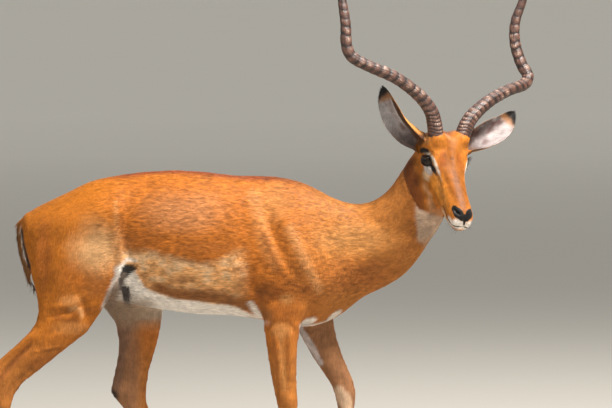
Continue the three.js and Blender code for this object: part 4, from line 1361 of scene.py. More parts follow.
@dataclass
class Skin:
    """One closed skin through the flesh, lying inside it by the depth of the coat."""

    points: Array = unset(3)
    triangles: Array = unset(3)
    normals: Array = unset(3)
    region: Array = unset()
    lie: Array = unset(3)
    colour: Array = unset(3)
    map: Array = unset(2)
    shag: Array = unset()

    def blank(self) -> Object:
        """Joins the flesh nodes and remeshes them into one surface."""
        solids = [name for name in FLESH if not name.startswith("ear")] + ["eye_right", "eye_left"]
        copies = [node_copy(name, FLESH_GROWTH) for name in solids]
        for base in HORN_PLUGS:
            deselect()
            bpy.ops.mesh.primitive_ico_sphere_add(
                subdivisions=3, radius=HORN_PLUG, location=tuple(to_frame(base)))
            plug = bpy.context.object
            plug.data.transform(plug.matrix_world)
            plug.matrix_world.identity()
            copies.append(plug)
        activate(copies[0])
        for thing in copies:
            thing.select_set(True)
        bpy.ops.object.join()
        body = bpy.context.object
        body.name = "skin"
        apply_modifier(body, "REMESH", mode="VOXEL", voxel_size=VOXEL)
        return body

    def soften(self, body: Object) -> None:
        """Rounds off the facets, most where the body is broad, and moves in by the coat."""
        points = points_of(body.data)
        p = to_design(points)
        limb = ramp(600, 470, p[:, 2])
        face = head_share(p)
        tail = ramp(-465, -480, p[:, 0]) * (p[:, 2] > 580)
        share = 0.5 - 0.36 * np.clip(limb + 0.75 * face + tail, 0, 1)
        edges = edges_of(body.data)
        points = relax(points, edges, share, 22)
        normals = vertex_normals(points, triangles_of(body.data))
        depth = BODY_DEPTH - (BODY_DEPTH - FACE_DEPTH) * np.clip(limb * 0.9 + face + tail, 0, 1)
        loss = LIMB_LOSS * limb + FACE_LOSS * face
        set_points(body.data, points - normals * ((depth - loss) / 1000.0)[:, None])

    def refine(self, body: Object) -> None:
        """Divides the faces of the head, and again those of the eyes, nose and mouth."""
        for choose in (self.on_head, self.on_detail):
            shape = bmesh.new()
            shape.from_mesh(body.data)
            shape.verts.ensure_lookup_table()
            chosen = choose(to_design(np.array([v.co for v in shape.verts])))
            edges = [e for e in shape.edges if chosen[e.verts[0].index] and chosen[e.verts[1].index]]
            bmesh.ops.subdivide_edges(shape, edges=edges, cuts=1, use_grid_fill=True)
            bmesh.ops.triangulate(shape, faces=[f for f in shape.faces if len(f.verts) > 4])
            shape.to_mesh(body.data)
            shape.free()
            points = points_of(body.data)
            share = 0.45 * choose(to_design(points))
            set_points(body.data, relax(points, edges_of(body.data), share, 3))

    @staticmethod
    def on_head(p: Array) -> Array:
        """Whether design points lie where the skin has finer cells."""
        return near_head(p, FINE_START)

    @staticmethod
    def on_detail(p: Array) -> Array:
        """Whether design points lie where it has its finest cells."""
        place = head_place(p)
        ball = HEAD_CENTRE + np.outer(np.sign(place[:, 2]) * (EYE_SPREAD + 5), HEAD_LEFT)
        eye = np.linalg.norm(p - ball, axis=1) < LID_ZONE
        return near_head(p, FINE_START) & (eye | (place[:, 0] > NOSE_START))

    def add_ears(self, body: Object) -> None:
        """Unites the ears with the skin."""
        for ear in EARS:
            points, faces = ear.shell()
            shell = new_mesh(ear.name + "_shell", to_frame(points), faces)
            triangulate(shell.data)
            apply_modifier(body, "BOOLEAN", operation="UNION", solver="MANIFOLD", object=shell)
            bpy.data.objects.remove(shell)

    def sculpt(self) -> None:
        """Adds the muscles, folds, nostrils, lips and lids."""
        p = to_design(self.points)
        n = self.normals
        on_head = near_head(p, HEAD_START)
        push = np.zeros(len(p))
        sideways = ramp(0.15, 0.5, n[:, 1] * np.sign(p[:, 1]))
        reach = np.linalg.norm(p - HEAD_MIDDLE, axis=1)
        off_head = 1.0 - ramp(-125, -82, head_place(p)[:, 0]) * ramp(240, 192, reach)
        for fold in BODY_FOLDS:
            where = ~on_head if fold.side == 0 else ~on_head & (np.sign(p[:, 1]) == fold.side)
            push[where] += fold.push(p[where][:, (0, 2)]) * (sideways * off_head)[where]
        face = face_place(p)
        for fold in FACE_FOLDS:
            push[on_head] += fold.push(face[on_head])
        p = p + n * push[:, None]
        for horn in HORN_ROOTS:
            root, tip = (np.asarray(end, float) for end in horn)
            axis = unit(tip - root)
            away = p - root - np.outer((p - root) @ axis, axis)
            reach = np.linalg.norm(away, axis=1)
            collar = ramp(46, 24, reach) * ramp(70, 40, np.abs((p - root) @ axis - 20))
            p = p + axis * (HORN_COLLAR * collar * on_head)[:, None]
        for lids in LIDS:
            p = lids.shape(p)
        self.points = to_frame(p)

    def find_regions(self) -> None:
        """Finds the flesh node that each vertex belongs to."""
        corners, polygons, owner = [], [], []
        for index, name in enumerate(FLESH):
            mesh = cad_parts[name].data
            triangles = triangles_of(mesh)
            polygons.append(triangles + sum(len(c) for c in corners))
            corners.append(points_of(mesh))
            owner += [index] * len(triangles)
        tree = BVHTree.FromPolygons(
            [Vector(c) for c in np.concatenate(corners)], np.concatenate(polygons).tolist())
        self.region = np.array([owner[tree.find_nearest(Vector(p))[2]] for p in self.points])

    def find_lie(self, edges: Array) -> None:
        """Works out the way the coat lies at each vertex."""
        p = to_design(self.points)
        names = np.array(FLESH)[self.region]
        lie = np.tile(np.array((-1.0, 0.0, -0.22)), (len(p), 1))
        haunch = ramp(-210, -380, p[:, 0])[:, None]
        lie = lie * (1 - haunch) + np.array((-0.5, 0.0, -0.9)) * haunch
        shoulder = (ramp(120, 220, p[:, 0]) * ramp(760, 640, p[:, 2]))[:, None]
        lie = lie * (1 - shoulder) + np.array((-0.35, 0.0, -1.0)) * shoulder
        lie[names == "neck"] = (-0.80, 0.10, -0.62)
        lie[np.char.find(names, "leg") >= 0] = (-0.14, 0.0, -1.0)
        lie[names == "tail"] = (0.0, 0.0, -1.0)
        head = names == "head"
        lie[head] = -HEAD_ALONG + 0.0015 * head_place(p)[head, 2:3] * HEAD_LEFT
        lie = unit(relax(unit(lie), edges, 0.6, 60))
        for ear in EARS:
            lie[names == ear.name] = ear.axis()
        self.lie = lay_flat(unit(relax(lie, edges, 0.5, 4)), self.normals)

    def find_map(self) -> None:
        """Unwraps each region round its own axis into its own cell of the map."""
        p = to_design(self.points)
        self.map = np.zeros((len(p), 2))
        axes = {"trunk": (1, 0, 0), "neck": (0.80, -0.1, 0.6), "head": HEAD_ALONG}
        for index, name in enumerate(FLESH):
            chosen = self.region == index
            if not chosen.any():
                continue
            q = p[chosen]
            axis = unit(np.asarray(axes.get(name, (0.05, 0.0, 1.0)), float))
            across = unit(np.cross(axis, (0.0, 1.0, 0.02)))
            other = np.cross(axis, across)
            along = q @ axis
            rise = (along - along.min()) / (np.ptp(along) + 1e-6)
            band = np.clip((rise * MAP_BANDS).astype(int), 0, MAP_BANDS - 1)
            count = np.maximum(np.bincount(band, minlength=MAP_BANDS), 1)
            middle = np.stack(
                [np.bincount(band, q @ d, MAP_BANDS) / count for d in (across, other)], axis=1)
            around = np.arctan2(q @ other - middle[band, 1], q @ across - middle[band, 0])
            cell = np.array((index % MAP_COLUMNS, index // MAP_COLUMNS)) / MAP_COLUMNS
            share = np.stack((around / (2 * math.pi) + 0.5, rise), axis=1)
            self.map[chosen] = cell + (0.03 + 0.94 * share) / MAP_COLUMNS

    def build(self, finish: Material) -> Object:
        """Makes the skin object with its colours and map."""
        body = self.blank()
        self.soften(body)
        self.refine(body)
        self.add_ears(body)
        triangulate(body.data)
        self.points = points_of(body.data)
        self.triangles = triangles_of(body.data)
        edges = edges_of(body.data)
        self.join_ear_roots(edges)
        self.normals = vertex_normals(self.points, self.triangles)
        self.find_regions()
        self.sculpt()
        place = head_place(to_design(self.points))
        eased = 0.25 * ((place[:, 0] > HEAD_START) & belongs(self.region, "head"))
        self.points = relax(self.points, edges, eased, 1)
        self.normals = vertex_normals(self.points, self.triangles)
        self.find_lie(edges)
        p = to_design(self.points)
        self.colour = Markings().paint(p, self.normals, self.region)
        for lids in LIDS:
            blend_in(self.colour, BLACK, lids.rim_mask(p))
        self.find_map()
        set_points(body.data, self.points)
        body.data.polygons.foreach_set("use_smooth", [True] * len(body.data.polygons))
        self.shag = self.roughness_of(p)
        set_coat(body.data, self.colour, self.upright(self.lie), self.shag)
        set_map(body.data, self.map)
        dress(body, finish)
        log.info("skin: %d triangles", len(self.triangles))
        return body

    def join_ear_roots(self, edges: Array) -> None:
        """Smooths the skin where the ears leave the head."""
        p = to_design(self.points)
        share = np.zeros(len(p))
        for ear in EARS:
            root = np.asarray(ear.line[0], float) * 0.75 + np.asarray(ear.line[1], float) * 0.25
            share = np.maximum(share, 0.5 * ramp(46, 22, np.linalg.norm(p - root, axis=1)))
        self.points = relax(self.points, edges, share, 5)

    def roughness_of(self, p: Array) -> Array:
        """How shaggy the coat is, from 0 on the face and legs to 1 on the sides of the trunk."""
        body = belongs(self.region, "trunk", "neck")
        sides = ramp(540, 600, p[:, 2]) * ramp(-330, -200, p[:, 0])
        return body * (0.25 + 0.75 * sides * ramp(560, 420, p[:, 0]))

    @staticmethod
    def upright(lie: Array) -> Array:
        """How far the coat hangs rather than lies level, from 0 to 1."""
        return ramp(0.45, 0.8, np.abs(lie[:, 2]))


# ---- coat ----

@dataclass(frozen=True)
class Lock:
    """Size of the tufts of one part of the coat, in millimetres."""

    length: float
    width: float
    spacing: float
    lift: float = 0.10


class Part(Enum):
    """Pieces that the coat is made in, with the flesh nodes each one covers."""

    TRUNK = ("trunk",)
    NECK = ("neck",)
    HEAD = ("head",)
    EARS = ("ear_right", "ear_left")
    THIGHS = ("hind_leg_right_upper", "hind_leg_left_upper")
    FOREARMS = ("fore_leg_right_upper", "fore_leg_left_upper")
    SHANKS = (
        "hind_leg_right_lower", "hind_leg_left_lower", "fore_leg_right_lower", "fore_leg_left_lower",
    )
    TAIL = ("tail",)


LOCKS = {
    Part.TRUNK: Lock(12.0, 1.5, 2.75, 0.07),
    Part.NECK: Lock(11.0, 1.4, 2.5, 0.08),
    Part.HEAD: Lock(5.2, 1.0, 1.75, 0.13),
    Part.EARS: Lock(7.0, 0.9, 1.8, 0.10),
    Part.THIGHS: Lock(8.0, 1.3, 2.4, 0.08),
    Part.FOREARMS: Lock(7.0, 1.2, 2.2, 0.08),
    Part.SHANKS: Lock(5.5, 1.1, 2.1, 0.10),
    Part.TAIL: Lock(26.0, 1.8, 2.4, 0.09),
}


@dataclass(frozen=True)
class Coat:
    """Thin, overlapping tufts lying along one part of the skin."""

    part: Part
    lock: Lock
    seed: int
    turn: float = 0.10
    swirl: float = 0.14
    lengths: tuple[float, float] = (0.72, 1.2)
    widths: tuple[float, float] = (0.7, 1.2)
    lifts: tuple[float, float] = (0.45, 1.3)
    tone: float = 0.055
    ridge_rise: float = 0.22
    ridge_place: float = 0.22
    # Colour of a tuft's two root corners, ridge and tip: darker at the root as painted shade, lighter
    # at the tip.
    shades: tuple[float, ...] = (0.90, 0.90, 1.0, 1.06)

    def roots(self, skin: Skin, rng: np.random.Generator) -> tuple[Array, Array]:
        """Spreads the roots of the tufts evenly over the part.

        Args:
            skin: the skin that they grow on.
            rng: source of chance.

        Returns:
            Triangle of each root, and its barycentric place there.
        """
        faces = np.nonzero(belongs(skin.region[skin.triangles[:, 0]], *self.part.value))[0]
        a, b, c = (skin.points[skin.triangles[faces, k]] for k in range(3))
        area = 0.5 * np.linalg.norm(np.cross(b - a, c - a), axis=1) * 1e6
        density = self.density(skin, faces)
        spacing = self.lock.spacing * 1.0
        count = np.cumsum(area * density / spacing ** 2)
        total = int(count[-1])
        places = (np.arange(total) + rng.random(total)) / total * count[-1]
        chosen = faces[np.searchsorted(count, places).clip(0, len(faces) - 1)]
        u, v = rng.random((2, total))
        flip = u + v > 1
        u[flip], v[flip] = 1 - u[flip], 1 - v[flip]
        return chosen, np.stack((1 - u - v, u, v), axis=1)

    def density(self, skin: Skin, faces: Array) -> Array:
        """Thins the coat out over bare skin and around the eyes."""
        p = to_design(skin.points[skin.triangles[faces]].mean(axis=1))
        keep = np.ones(len(faces))
        if self.part is Part.HEAD:
            face = face_place(p)
            for mark in FACE_MARKS:
                if mark.colour == BLACK:
                    keep *= 1.0 - mark.mask(face)
            for lids in LIDS:
                reach, _, _, outside = lids.measure(p)
                keep *= np.where((reach < BARE_ZONE) & (outside < 0.10), 0.0, 1.0)
        return keep

    def build(self, skin: Skin, finish: Material) -> list[Object]:
        """Makes the part's pieces, each of at most MOST_TUFTS tufts."""
        rng = np.random.default_rng(SEED + self.seed)
        faces, weights = self.roots(skin, rng)
        pieces = math.ceil(len(faces) / MOST_TUFTS)
        sets = zip(np.array_split(faces, pieces), np.array_split(weights, pieces))
        return [
            self.piece(skin, finish, rng, mine, places, f"{self.part.name.lower()}_{number}")
            for number, (mine, places) in enumerate(sets, start=1)
        ]

    def piece(self, skin: Skin, finish: Material, rng: np.random.Generator, faces: Array,
              weights: Array, name: str) -> Object:
        """Makes one piece of the coat.

        Args:
            skin: the skin that it grows on.
            finish: material of the tufts.
            rng: source of chance.
            faces: skin triangle of each root.
            weights: barycentric place of each root in its triangle.
            name: name of the piece after "coat_".

        Returns:
            The piece.
        """
        corners = skin.triangles[faces]

        def at(values: Array) -> Array:
            """Values of the skin's vertices at the roots of the tufts."""
            return (values[corners] * weights[..., None]).sum(axis=1)

        count = len(faces)
        root = at(skin.points)
        normal = unit(at(skin.normals))
        lie = lay_flat(at(skin.lie), normal)
        side = np.cross(normal, lie)
        turn = rng.normal(0.0, self.turn, count) + self.swirl * noise(root * 1000.0, 40.0, 21)
        lie, side = (
            lie * np.cos(turn)[:, None] + side * np.sin(turn)[:, None],
            side * np.cos(turn)[:, None] - lie * np.sin(turn)[:, None],
        )
        size = self.sizes(to_design(root))
        length = self.lock.length * size * rng.uniform(*self.lengths, count) / 1000.0
        width = self.lock.width * rng.uniform(*self.widths, count) / 1000.0
        lift = self.lock.lift * rng.uniform(*self.lifts, count)
        sunk = root - normal * TUFT_SUNK
        ridge = normal * (self.ridge_rise * width + TUFT_RISE)[:, None]
        tip = root + lie * length[:, None] + normal * (lift * length)[:, None]
        points = np.stack((
            sunk - side * (width / 2)[:, None],
            sunk + side * (width / 2)[:, None],
            sunk + ridge + lie * (self.ridge_place * length)[:, None],
            tip,
        ), axis=1).reshape(-1, 3)
        first = np.arange(count)[:, None, None] * 4
        pattern = np.array([(0, 2, 1), (0, 3, 2), (1, 2, 3), (0, 1, 3)])
        triangles = self.face_out(points, (first + pattern[None]).reshape(-1, 3))
        piece = new_mesh("coat_" + name, points, triangles)
        lean = np.stack((-0.45 * side, 0.45 * side, 0.1 * lie, 0.25 * lie), axis=1)
        soft = unit(normal[:, None, :] + lean).reshape(-1, 3)
        piece.data.normals_split_custom_set_from_vertices(soft)
        tone = rng.normal(1.0, self.tone, count)
        shade = tone[:, None] * np.array(self.shades)[None]
        colour = at(skin.colour)[:, None, :] * shade[..., None]
        shag = at(skin.shag[:, None])[:, 0]
        set_coat(piece.data, colour.reshape(-1, 3), np.repeat(skin.upright(lie), 4), np.repeat(shag, 4))
        spot = np.array([(-0.5, -0.5), (0.5, -0.5), (0.0, 0.0), (0.0, 0.5)]) * PATCH
        places = at(skin.map)[:, None, :] + spot[None]
        set_map(piece.data, places.reshape(-1, 2))
        dress(piece, finish)
        log.info("%s: %d tufts, %d triangles", piece.name, count, len(triangles))
        return piece

    def sizes(self, p: Array) -> Array:
        """Length of each tuft as a share of the part's own length."""
        size = np.ones(len(p))
        if self.part is Part.HEAD:
            place = head_place(p)
            size *= 1.0 - 0.45 * ramp(90, 170, place[:, 0])
            size *= 1.0 + 0.5 * ramp(-50, -80, place[:, 0])
        if self.part is Part.SHANKS:
            size *= 1.0 + 0.9 * ramp(95, 60, p[:, 2]) * ramp(30, 50, p[:, 2])
        return size

    @staticmethod
    def face_out(points: Array, triangles: Array) -> Array:
        """Turns every tuft's faces outwards."""
        quad = points.reshape(-1, 4, 3)
        a, b, c, d = (quad[:, k] for k in range(4))
        inside = np.einsum("ij,ij->i", np.cross(b - a, c - a), d - a) > 0
        flips = np.repeat(~inside, 4)
        triangles = triangles.copy()
        triangles[flips] = triangles[flips][:, ::-1]
        return triangles


# ---- horns ----

@dataclass(frozen=True)
class Horn:
    """Lyre-shaped horn with growth rings, close at the root and wider apart above."""

    name: str
    line: list[Point]
    front: Point
    seed: int
    radii: tuple[float, ...] = (
        21.8, 21, 18.5, 17.2, 16.8, 16.4, 16, 15.2, 13.6, 11.6, 9.2, 6.4, 2.4,
    )
    rows: int = 620
    sides: int = 56
    core: float = 0.955
    relief: float = 1.6
    first_ring: float = 4.0
    root_gap: float = 10.0
    upper_gap: float = 24.0
    rings: int = 30

    def ring_heights(self, reach: Array, rng: np.random.Generator) -> Array:
        """Height of the ridges along the horn, steep towards the tip.

        Args:
            reach: distances along the horn.
            rng: source of chance.

        Returns:
            A height from 0 to 1 for each distance.
        """
        height = np.zeros_like(reach)
        start = self.first_ring
        for _ in range(self.rings):
            wide = float(ramp(40.0, 170.0, np.array(start)))
            gap = self.root_gap + (self.upper_gap - self.root_gap) * wide
            gap *= rng.uniform(0.72, 1.3)
            place = (reach - start) / gap
            peak = rng.uniform(0.5, 0.8)
            ridge = np.where(place < peak, ramp(0, peak, place), ramp(1.0, peak, place))
            ridge = np.sqrt(ridge) * ((place > 0) & (place < 1))
            fade = float(ramp(0.80, 0.60, np.array(start / reach[-1])))
            height = np.maximum(height, ridge * fade * rng.uniform(0.75, 1.0))
            start += gap
        return height

    def build(self, finish: Material) -> Object:
        """Makes the horn."""
        rng = np.random.default_rng(SEED + self.seed)
        path = rail(self.line, self.rows)
        across, other = sweep_axes(path, self.front)
        steps = np.linalg.norm(np.diff(path, axis=0), axis=1)
        reach = np.concatenate(([0.0], np.cumsum(steps)))
        share = reach / reach[-1]
        radius = np.interp(share, np.linspace(0, 1, len(self.radii)), self.radii)
        angle = np.linspace(0, 2 * np.pi, self.sides, endpoint=False)
        tilt = 5.0 * np.cos(angle) + 1.6 * np.cos(3 * angle + 1.0)
        points, ridges = [], []
        lift = np.minimum(self.relief, 0.12 * radius)
        heights = self.ring_heights(reach, rng)
        wave = rng.uniform(0, 6.28, 4)
        for i in range(self.rows):
            height = np.interp(reach[i] + tilt, reach, heights)
            strong = 0.42 + 0.58 * (0.5 + 0.5 * np.cos(angle)) ** 0.7
            knob = 1.0 + 0.25 * np.sin(3 * angle + wave[0] + reach[i] * 0.05)
            ridge = height * strong * knob
            flute = 0.018 * np.sin(9 * angle + wave[1]) + 0.010 * np.sin(17 * angle + wave[2])
            size = radius[i] * (self.core + flute) + lift[i] * ridge
            points.append(path[i] + np.outer(np.cos(angle) * size, across[i])
                          + np.outer(np.sin(angle) * size, other[i]))
            smooth_tip = 0.45 + 0.25 * share[i]
            fade = float(ramp(0.85, 0.6, np.array(share[i])))
            ridges.append(ridge * fade + smooth_tip * (1 - fade))
        faces = tube_faces(self.rows, self.sides)
        piece = new_mesh(self.name + "_ringed", to_frame(np.concatenate(points)), faces)
        set_number(piece.data, "ridge", np.concatenate(ridges))
        layer = piece.data.attributes.new("fibre", "FLOAT_VECTOR", "POINT")
        fibre = np.stack((
            np.tile(np.cos(angle), self.rows) * 0.02,
            np.tile(np.sin(angle), self.rows) * 0.02,
            np.repeat(reach, self.sides) / 1000.0,
        ), axis=1)
        layer.data.foreach_set("vector", np.ascontiguousarray(fibre, np.float32).ravel())
        dress(piece, finish)
        log.info("%s: %d faces", piece.name, len(faces))
        return piece


HORNS = [
    Horn("horn_right", [
        (652, -106, 994), (647, -110, 1020), (643, -113, 1058), (632, -119, 1095),
        (597, -131, 1139), (536, -148, 1184), (464, -162, 1216), (419, -168, 1240),
        (403, -166, 1272), (400, -156, 1330), (391, -140, 1396), (384, -124, 1462),
        (381, -110, 1528), (384, -100, 1590),
    ], (0.6, -0.6, 0.0), 1),
    Horn("horn_left", [
        (710, -66, 998), (721, -60, 1024), (735, -48, 1056), (756, -30, 1083),
        (799, 12, 1118), (856, 70, 1147), (897, 116, 1160), (911, 140, 1184),
        (892, 154, 1222), (876, 166, 1278), (878, 178, 1336), (899, 188, 1396),
        (915, 192, 1462), (922, 190, 1528), (919, 184, 1588),
    ], (-0.3, -0.8, 0.3), 2),
]


# ---- eyes, lashes, whiskers, hooves ----

@dataclass(frozen=True)
class Eye:
    """Eyeball with a level pupil and a slightly swollen cornea."""

    name: str
    lids: Lids
    rows: int = 64
    iris: float = 0.72
    pupil_length: float = 0.42
    pupil_height: float = 0.20

    def build(self, finish: Material) -> Object:
        """Makes the eyeball."""
        centre, look, length, height = self.lids.frame()
        deselect()
        bpy.ops.mesh.primitive_uv_sphere_add(segments=96, ring_count=self.rows, radius=1.0)
        piece = bpy.context.object
        piece.name = self.name + "_ball"
        raw = points_of(piece.data)
        swell = 1.0 + 0.035 * ramp(0.62, 1.0, raw[:, 2])
        local = raw * (EYE_RADIUS - 0.15) * swell[:, None]
        axes = np.stack((length, height, look))
        if np.linalg.det(axes) < 0:
            axes[0] *= -1
        set_points(piece.data, to_frame(centre + local @ axes))
        bpy.ops.object.shade_smooth()
        tilt = np.arctan2(raw[:, 0], raw[:, 2])
        rise = np.arctan2(raw[:, 1], raw[:, 2])
        out = np.hypot(raw[:, 0], raw[:, 1]) + (raw[:, 2] < 0)
        colour = plain(EYE_RIM, len(raw))
        blend_in(colour, IRIS, ramp(self.iris + 0.06, self.iris, out))
        blend_in(colour, IRIS_EDGE, ramp(0.12, 0.02, np.abs(out - self.iris)))
        pupil = (np.abs(tilt) / self.pupil_length) ** 3 + (np.abs(rise) / self.pupil_height) ** 3
        blend_in(colour, PUPIL, ramp(1.3, 0.8, pupil) * (raw[:, 2] > 0))
        set_colour(piece.data, "coat", colour)
        dress(piece, finish)
        return piece


@dataclass
class Bristles:
    """Tapered, curved hairs such as lashes and whiskers, joined as one mesh."""

    name: str
    points: list[Array] = field(default_factory=list)
    faces: list[tuple[int, ...]] = field(default_factory=list)
    count: int = 0
    rows: int = 5

    def add(self, root: Array, start: Array, bend: Array, length: float, width: float) -> None:
        """Adds one hair.

        Args:
            root: where it grows, in design millimetres.
            start: the way it leaves the skin.
            bend: the way it curves.
            length: its length.
            width: its thickness at the root.
        """
        rows = self.rows
        share = np.linspace(0, 1, rows)[:, None]
        path = root + length * (unit(start) * share + 0.5 * bend * share ** 2)
        across, other = sweep_axes(path, np.cross(unit(start), (0.31, 0.77, 0.55)))
        for i in range(rows):
            size = 0.5 * width * (1.0 - 0.82 * i / (rows - 1))
            for k in range(3):
                angle = 2 * math.pi * k / 3
                self.points.append(
                    path[i] + size * (math.cos(angle) * across[i] + math.sin(angle) * other[i]))
        self.faces += [tuple(self.count + v for v in face) for face in tube_faces(rows, 3)]
        self.count += rows * 3

    def build(self, colour: Colour, finish: Material) -> Object:
        """Makes the piece."""
        piece = new_mesh(self.name, to_frame(self.points), self.faces)
        set_coat(piece.data, plain(colour, self.count), np.ones(self.count), np.zeros(self.count))
        dress(piece, finish)
        return piece


def make_lashes(finish: Material) -> Object:
    """Long dark lashes on the upper lids and short ones on the lower."""
    rng = np.random.default_rng(SEED + 40)
    lashes = Bristles("lashes")
    for lids in LIDS:
        centre, look, length, height = lids.frame()
        for up, count, reach in ((1, 46, 15.0), (-1, 24, 6.0)):
            for along in np.linspace(-0.86, 0.86, count):
                share = abs(along) / lids.half_length
                edge = (lids.upper if up > 0 else lids.lower) * lids.arch(share) + 0.05
                direction = unit(look + math.tan(along) * length + up * math.tan(edge) * height)
                root = centre + direction * (EYE_RADIUS + lids.rim)
                start = unit(look * 0.9 + up * height * 0.45 + along * 0.5 * length
                             + rng.normal(0, 0.08, 3))
                size = reach * (1.0 - 0.45 * share) * rng.uniform(0.75, 1.1)
                lashes.add(root, start, up * height * 0.55, size, 0.55)
    return lashes.build(DARK, finish)


def make_whiskers(skin: Skin, finish: Material) -> Object:
    """Sparse whiskers on the lips and chin."""
    rng = np.random.default_rng(SEED + 50)
    whiskers = Bristles("whiskers")
    p = to_design(skin.points)
    face = face_place(p)
    lips = np.nonzero((face[:, 0] > 165) & (face[:, 1] < 6) & belongs(skin.region, "head"))[0]
    for index in rng.choice(lips, 70, replace=False):
        start = skin.normals[index] + 0.35 * skin.lie[index] + rng.normal(0, 0.15, 3)
        whiskers.add(p[index] - skin.normals[index], start, 0.4 * skin.lie[index],
                     rng.uniform(8, 19), 0.4)
    return whiskers.build(WHISKER, finish)


@dataclass(frozen=True)
class Brush:
    """Long hair in one place: how many, least and greatest length, and the way it leans."""

    name: str
    count: int
    reach: tuple[float, float]
    lean: Point
    colour: Colour
    width: float

    def build(self, skin: Skin, where: Array, rng: np.random.Generator, finish: Material) -> Object:
        """Makes the hairs at random among the skin's points where they may grow."""
        p = to_design(skin.points)
        n = skin.normals
        hairs = Bristles(self.name)
        for index in rng.choice(np.nonzero(where)[0], self.count):
            start = np.array(self.lean) + 0.35 * n[index] + rng.normal(0, 0.15, 3)
            root = p[index] - n[index] + rng.normal(0, 1.2, 3)
            hairs.add(root, start, np.array((0.0, 0.0, -0.25)), rng.uniform(*self.reach), self.width)
        return hairs.build(self.colour, finish)


BELLY_TUFT = Brush("belly_tuft", 260, (14.0, 56.0), (0.22, -0.12, -1.0), (0.060, 0.045, 0.038), 0.6)
BELLY_TUFT_AT = (-206.0, 604.0)
HEEL_TUFTS = Brush("heel_tufts", 420, (11.0, 18.0), (-0.55, 0.0, -0.9), (0.014, 0.011, 0.010), 0.9)
HEEL_HEIGHTS = (78.0, 118.0)


def make_tufts(skin: Skin, finish: Material) -> list[Object]:
    """The hanging tuft on the belly and the black brushes above the hind hooves."""
    rng = np.random.default_rng(SEED + 60)
    x, _, z = to_design(skin.points).T
    legs = belongs(skin.region, "hind_leg_right_lower", "hind_leg_left_lower")
    forward, up = BELLY_TUFT_AT
    belly = (np.abs(x - forward) < 9) & (np.abs(z - up) < 10) & (skin.normals[:, 1] < -0.2)
    low, high = HEEL_HEIGHTS
    heels = legs & (z > low) & (z < high) & (skin.normals[:, 0] < -0.5)
    return [
        BELLY_TUFT.build(skin, belly, rng, finish),
        HEEL_TUFTS.build(skin, heels, rng, finish),
    ]


@dataclass(frozen=True)
class Hoof:
    """One claw of a hoof with growth rings and softened edges."""

    name: str
    inset: float = 0.0004
    edge: float = 0.0022
    ring: float = 0.00035

    def build(self, finish: Material) -> Object:
        """Makes the claw from its CAD shape."""
        piece = node_copy(self.name, -self.inset)
        piece.name = self.name + "_horn"
        apply_modifier(piece, "BEVEL", width=self.edge, segments=3, limit_method="ANGLE",
                       angle_limit=math.radians(28))
        bpy.ops.object.mode_set(mode="EDIT")
        bpy.ops.mesh.select_all(action="SELECT")
        bpy.ops.mesh.quads_convert_to_tris()
        bpy.ops.mesh.subdivide(number_cuts=3)
        bpy.ops.object.mode_set(mode="OBJECT")
        points = points_of(piece.data)
        points = relax(points, edges_of(piece.data), np.where(points[:, 2] < 0.0012, 0.0, 0.5), 4)
        normals = vertex_normals(points, triangles_of(piece.data))
        wall = ramp(0.5, 0.2, np.abs(normals[:, 2]))
        ring = np.sin(points[:, 2] * 1000.0 * 1.25 + 2.0 * noise(points * 1000.0, 16.0, 9))
        set_points(piece.data, points + normals * (self.ring * wall * (ring - 1.0))[:, None])
        bpy.ops.object.shade_smooth()
        dress(piece, finish)
        return piece


# ---- studio ----

@dataclass(frozen=True)
class Softbox:
    """Square soft light aimed at the middle of the animal."""

    name: str
    azimuth: float
    rise: float
    reach: float
    size: float
    power: float
    colour: Colour = (1.0, 1.0, 1.0)

    def build(self, target: Vector) -> None:
        """Adds the light."""
        light = bpy.data.lights.new(self.name, "AREA")
        light.shape = "SQUARE"
        light.size = self.size
        light.energy = self.power
        light.color = self.colour
        thing = add_object(self.name, light)
        turn, rise = math.radians(self.azimuth), math.radians(self.rise)
        back = Vector((
            math.sin(turn) * math.cos(rise), -math.cos(turn) * math.cos(rise), math.sin(rise)))
        thing.location = target + back * self.reach
        thing.rotation_euler = (-back).to_track_quat("-Z", "Y").to_euler()


SOFTBOXES = [
    Softbox("key", 44, 56, 5.0, 1.2, 600, (1.0, 0.965, 0.91)),
    Softbox("fill", -55, 24, 5.5, 3.5, 40, (0.94, 0.97, 1.0)),
    Softbox("back", 160, 50, 5.5, 3.0, 130, (1.0, 0.98, 0.95)),
]


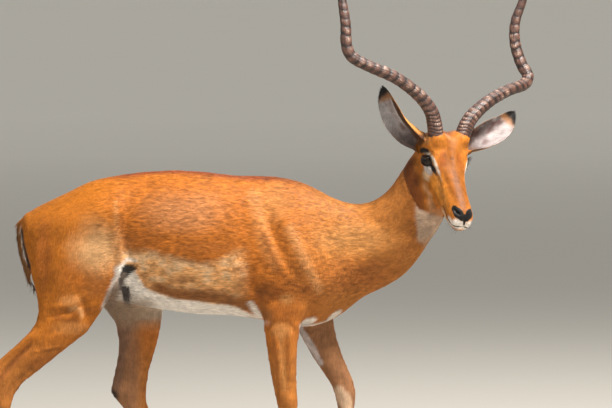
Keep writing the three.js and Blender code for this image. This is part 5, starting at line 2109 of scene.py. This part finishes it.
@dataclass(frozen=True)
class Studio:
    """Pale floor, soft lights and the camera."""

    profile: tuple[tuple[float, float], ...] = (
        (4, 0), (12, 0), (30, 0), (36, 0.4), (42, 1.6), (47, 4.0), (50, 7.5), (52, 12),
    )
    sides: int = 96
    world: Colour = (0.92, 0.91, 0.88)
    world_strength: float = 0.47
    target: Point = (0.0, 0.0, 0.8)

    def build(self) -> None:
        """Adds the floor, the lights, the world and the camera."""
        angle = np.linspace(0, 2 * np.pi, self.sides, endpoint=False)
        rings = [
            np.stack((reach * np.cos(angle), reach * np.sin(angle), np.full(self.sides, rise)), axis=1)
            for reach, rise in self.profile
        ]
        faces = [face[::-1] for face in tube_faces(len(rings), self.sides)[:-2]]
        faces.append(tuple(range(self.sides)))
        floor = new_mesh("floor", np.concatenate(rings), faces)
        dress(floor, FloorFinish().build())
        for light in SOFTBOXES:
            light.build(Vector(self.target))
        world = bpy.data.worlds.new("studio")
        world.use_nodes = True
        background = world.node_tree.nodes["Background"]
        background.inputs["Color"].default_value = (*self.world, 1.0)
        background.inputs["Strength"].default_value = self.world_strength
        bpy.context.scene.world = world
        self.camera()
        bpy.context.scene.view_settings.view_transform = "Standard"

    def camera(self) -> None:
        """Adds the camera and makes it the scene's own."""
        data = bpy.data.cameras.new("camera")
        data.sensor_width = SENSOR
        data.lens = CAMERA_LENS
        data.clip_end = 200.0
        camera = add_object("camera", data)
        rise = math.radians(CAMERA_RISE)
        forward = Vector((0.0, math.cos(rise), -math.sin(rise)))
        target = Vector(to_frame(CAMERA_TARGET))
        camera.location = target - forward * CAMERA_REACH
        camera.rotation_euler = forward.to_track_quat("-Z", "Y").to_euler()
        bpy.context.scene.camera = camera


# ---- assembly ----


def settle(piece: Object, slot: str, nodes: list[str] | None = None) -> None:
    """Attaches a piece to the frame's root, and hides the CAD nodes that it stands for.

    Args:
        piece: the finished object.
        slot: the record's material slot it belongs to, which only goes into the log.
        nodes: CAD nodes that it stands for.
    """
    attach(piece, "root")
    if nodes:
        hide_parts(*nodes)
    log.info("placed %s in slot %s", piece.name, slot)


def main() -> None:
    """Builds every piece in order."""
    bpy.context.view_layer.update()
    coat = CoatFinish("coat").build()
    hair = CoatFinish("coat_tufts", roughness=0.46).build()
    skin = Skin()
    settle(skin.build(coat), "coat", FLESH)
    for seed, (part, lock) in enumerate(LOCKS.items()):
        for piece in Coat(part, lock, seed).build(skin, hair):
            settle(piece, "coat")
    horn_finish = HornFinish().build()
    for horn in HORNS:
        settle(horn.build(horn_finish), "horn", [horn.name])
    eye_finish = EyeFinish().build()
    for name, lids in zip(("eye_right", "eye_left"), LIDS):
        settle(Eye(name, lids).build(eye_finish), "eye", [name])
    settle(make_lashes(hair), "coat")
    settle(make_whiskers(skin, hair), "coat")
    for tuft in make_tufts(skin, hair):
        settle(tuft, "coat")
    hoof_finish = HoofFinish().build()
    for name in HOOVES:
        settle(Hoof(name).build(hoof_finish), "hoof", [name])
    Studio().build()


if __name__ == "__main__":
    main()
